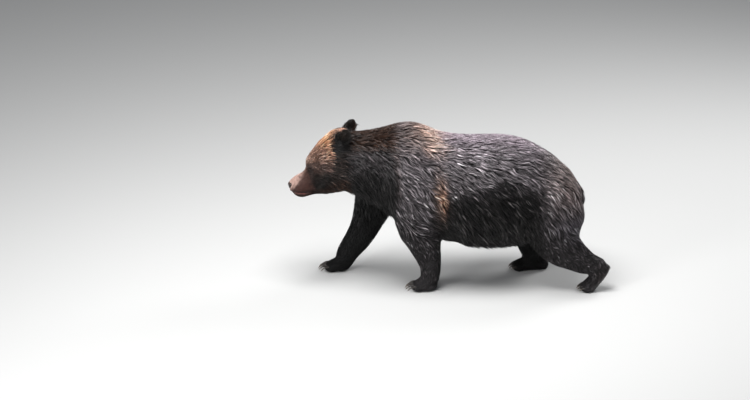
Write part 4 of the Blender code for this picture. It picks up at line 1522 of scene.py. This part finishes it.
@dataclass(frozen=True)
class Nose:
    """The bare pad with its two nostrils, in the skull's axes (a, y, b)."""

    centre: tuple[float, float, float] = (0.0227, 0.0, -0.0082)
    radii: tuple[float, float, float] = (0.0240, 0.0305, 0.0252)
    square: float = 2.5
    spread: float = 0.16  # how much wider the top is than the middle
    nostril: tuple[float, float, float] = (0.0122, -0.0040, 0.0105)  # out, up, depth
    rows: int = 110
    columns: int = 112
    low_tone: tuple[int, int, int] = (42, 31, 29)
    painted_top_light: tuple[int, int, int] = (66, 52, 48)
    nostril_shade: tuple[int, int, int] = (10, 7, 7)

    def share(self, points: Array) -> Array:
        """How far world points lie out from the pad's middle, in shares of its own reach.

        The pad is a superellipsoid: the sum of the powers of each distance over its radius
        is one, the radius across growing with the height.
        """
        a, y, b = SKULL.axes(points)
        a, b = (a - self.centre[0]) / self.radii[0], (b - self.centre[2]) / self.radii[2]
        y = y / (self.radii[1] * (1 + self.spread * np.clip(b, -1, 1)))
        total = sum(np.abs(share) ** self.square for share in (a, y, b))
        return total ** (1 / self.square)

    def build(self, finish: bpy.types.Material) -> bpy.types.Object:
        """The pad as rings round its front, with comma nostrils and a middle groove.

        Rings stand at angles from straight ahead, closer together in front; each point lies
        where its heading meets the superellipsoid, then sinks by the dents: soft spots and
        soft lines of (y, b) times their depth.
        """
        s = np.linspace(0.004, 0.996, self.rows)[:, None]
        away, turn = math.pi * s**1.35, turns(self.columns)[None]
        along, across, high = self.radii
        own = np.stack(np.broadcast_arrays(
            -np.cos(away) * along, np.sin(away) * np.cos(turn) * across,
            np.sin(away) * np.sin(turn) * high), -1).reshape(-1, 3)
        points = SKULL.place(np.vstack([own, [[-along, 0, 0], [along, 0, 0]]]) + self.centre)
        middle = SKULL.place(self.centre)
        points = middle + (points - middle) / self.share(points)[:, None]
        a, y, b = SKULL.axes(points)
        out, up, deep = self.nostril
        w = np.abs(y)
        front = rise(0.013, 0.007, a)
        hole = blob(np.stack([w, b], -1), (out, up), (0.0062, 0.0056))
        tail = bell(b - up - 0.0040 - 0.10 * (w - out), 0.0021)
        tail = tail * rise(out - 0.003, out + 0.004, w) * rise(0.030, 0.022, w)
        wing = blob(np.stack([w, b], -1), (0.0215, 0.0035), (0.0050, 0.0060))
        bridge = bell(y, 0.0060) * rise(0.0, 0.010, b)
        slit = bell(y, 0.0013) * rise(0.004, -0.006, b)
        lift = 0.0012 * wing + 0.0007 * bridge - 0.0016 * slit - 0.0034 * tail
        dent = lift * front - deep * hole**0.8 * front
        points = points + SKULL.head(np.array([-1.0, 0.0, 0.0])) * dent[:, None]
        mesh = mesh_of("nose_pad", points, outward(points, capped(self.rows, self.columns)))
        # painted shade: nostrils, their tails and the middle groove made near black
        dark = np.clip(1.5 * hole + 0.9 * tail + 0.5 * slit, 0, 1)[:, None] * front[:, None]
        # lighter towards the top of the pad: a painted highlight of the wet leather
        tone = mix(paint(*self.low_tone), paint(*self.painted_top_light), rise(0.006, 0.016, b)[:, None])
        set_tint(mesh, mix(tone, paint(*self.nostril_shade), dark))
        return place_piece(mesh, finish, ["nose"])


TOES = 5


@dataclass(frozen=True)
class Claws:
    """The five claws of one foot, which curve down from its toes."""

    foot: str
    ankle: tuple[float, float]
    reach: float
    length: float
    height: float
    headings: tuple[float, float]  # degrees above the level, root and tip
    radii: tuple[float, float] = (0.0068, 0.0046)
    arc: float = 0.0045  # how far the toes' line curves back
    sunk: float = 0.014  # root of the claw inside the toe
    apart: float = 0.0275
    rows: int = 18
    columns: int = 16
    root_tone: tuple[int, int, int] = (38, 32, 28)
    tip_tone: tuple[int, int, int] = (104, 92, 76)

    def build(self, finish: bpy.types.Material) -> bpy.types.Object:
        """All five as one mesh.

        The middle line leaves the toe at the root's heading, which falls evenly to the
        tip's; the section is an oval, narrower below, whose radii shrink by
        1 - 0.86 s^1.6 and close at both ends.
        """
        toe = np.arange(TOES)[:, None, None] - 2
        s = np.linspace(0, 1, self.rows)[None, :, None]
        turn = turns(self.columns)[None, None]
        heading = np.radians(mix(*self.headings, s))
        pace = self.length / (self.rows - 1)
        back = np.cumsum(np.cos(heading) * pace, axis=1) - np.cos(heading[:, :1]) * pace
        up = np.cumsum(np.sin(heading) * pace, axis=1) - np.sin(heading[:, :1]) * pace
        root_x = self.ankle[0] - self.reach + self.arc * toe**2 - self.sunk
        root_y = self.ankle[1] + self.apart * toe
        taper = (1 - 0.86 * s**1.6) * np.sqrt(np.clip(1 - s**14, 0.02, 1))
        high = np.sin(turn) * self.radii[0] * taper
        wide = np.cos(turn) * self.radii[1] * taper * (1 - 0.25 * np.clip(-np.sin(turn), 0, 1))
        x = root_x - back + high * np.sin(heading)
        z = self.height + up + high * np.cos(heading)
        grid = np.stack(np.broadcast_arrays(x, root_y + wide, z), -1)
        each = self.rows * self.columns + 2
        points = np.empty((TOES, each, 3))
        points[:, :-2] = grid.reshape(TOES, -1, 3)
        points[:, -2] = grid[:, 0].mean(1)
        points[:, -1] = grid[:, -1].mean(1)
        one = outward(points[0], capped(self.rows, self.columns))
        triangles = (np.arange(TOES)[:, None, None] * each + one).reshape(-1, 3)
        mesh = mesh_of(f"{self.foot}_claws", points.reshape(-1, 3), triangles)
        share = np.append(np.repeat(s.ravel(), self.columns), [0, 1])[:, None]
        tone = mix(paint(*self.root_tone), paint(*self.tip_tone), rise(0.35, 1.0, share))
        set_tint(mesh, np.tile(tone, (TOES, 1)))
        return place_piece(mesh, finish, [f"{self.foot}_claw_{k + 1}" for k in range(TOES)])


FORE = {"length": 0.066, "height": 0.033, "headings": (14.0, -62.0)}
HIND = {"length": 0.042, "height": 0.029, "headings": (6.0, -52.0)}
FEET = (
    Claws("forepaw_left", (-0.128, -0.180), 0.086, **FORE),
    Claws("forepaw_right", (-0.692, 0.172), 0.086, **FORE),
    Claws("hindpaw_left", (0.972, -0.192), 0.100, **HIND),
    Claws("hindpaw_right", (0.575, 0.188), 0.128, **HIND),
)


# ---------------------------------------------------------------- studio


@dataclass(frozen=True)
class Studio:
    """Pale floor, soft lights and the camera."""

    floor: float = 60.0
    target: tuple[float, float, float] = (-0.4745, 0.1756, 0.4825)
    elevation: float = 20.0
    distance: float = 22.0
    lens: float = 162.5
    floor_colour: tuple[float, ...] = (0.46, 0.46, 0.455, 1)
    air_colour: tuple[float, ...] = (0.86, 0.89, 0.94, 1)
    air_strength: float = 0.24
    lit: tuple[float, float, float] = (0, 0, 0.6)  # what the lamps face
    lamps: tuple[tuple[object, ...], ...] = (  # name, place, size, power
        ("sky", (-0.6, -1.0, 5.5), 3.2, 560.0),
        ("front", (-4.0, -4.5, 2.6), 2.0, 190.0),
        ("rear", (3.5, 3.0, 4.0), 2.2, 170.0),
    )

    def lamp(self, name: str, place: Sequence[float], size: float, power: float) -> None:
        """A square soft light that faces the bear's middle."""
        light = bpy.data.lights.new(name, "AREA")
        light.shape, light.size, light.energy = "SQUARE", size, power
        lamp = bpy.data.objects.new(name, light)
        lamp.location = place
        facing = Vector(self.lit) - Vector(place)
        lamp.rotation_euler = facing.to_track_quat("-Z", "Y").to_euler()
        bpy.context.scene.collection.objects.link(lamp)

    def build(self) -> None:
        """Sets up the floor, lights, world and camera."""
        h = self.floor / 2
        corners = np.array([[-h, -h, 0], [h, -h, 0], [h, h, 0], [-h, h, 0]], dtype=float)
        mesh = mesh_of("floor", corners, np.array([[0, 1, 2], [0, 2, 3]]))
        floor = bpy.data.objects.new("floor", mesh)
        material = bpy.data.materials.new("pale floor")
        material.use_nodes = True
        shader = material.node_tree.nodes["Principled BSDF"]
        shader.inputs["Base Color"].default_value = self.floor_colour
        shader.inputs["Roughness"].default_value = 0.8
        mesh.materials.append(material)
        bpy.context.scene.collection.objects.link(floor)
        world = bpy.data.worlds.new("soft room")
        world.use_nodes = True
        background = world.node_tree.nodes["Background"]
        background.inputs["Color"].default_value = self.air_colour
        background.inputs["Strength"].default_value = self.air_strength
        bpy.context.scene.world = world
        for lamp in self.lamps:
            self.lamp(*lamp)
        camera = bpy.data.cameras.new("camera")
        camera.lens, camera.sensor_width = self.lens, 36.0
        camera.clip_end = 200.0
        holder = bpy.data.objects.new("camera", camera)
        raised = math.radians(self.elevation)
        away = Vector((0, -math.cos(raised), math.sin(raised)))
        holder.location = Vector(self.target) + away * self.distance
        holder.rotation_euler = (-away).to_track_quat("-Z", "Y").to_euler()
        bpy.context.scene.collection.objects.link(holder)
        bpy.context.scene.camera = holder
        bpy.context.scene.view_settings.view_transform = "Standard"


def main() -> None:
    """Builds the bear from the skin outwards."""
    logging.basicConfig(level=logging.INFO, format="%(name)s %(message)s")
    Studio().build()
    finishes, markings, skin = Finishes(), Markings(), Skin()
    skin.build(finishes, markings)
    for side in Side:
        eye = EyeSet(side)
        eye.ball(finishes.eye)
        eye.lids(finishes.lid, markings)
    Nose().build(finishes.nose)
    for foot in FEET:
        foot.build(finishes.horn)
    Coat(skin, markings, finishes.coat).build()


if __name__ == "__main__":
    main()
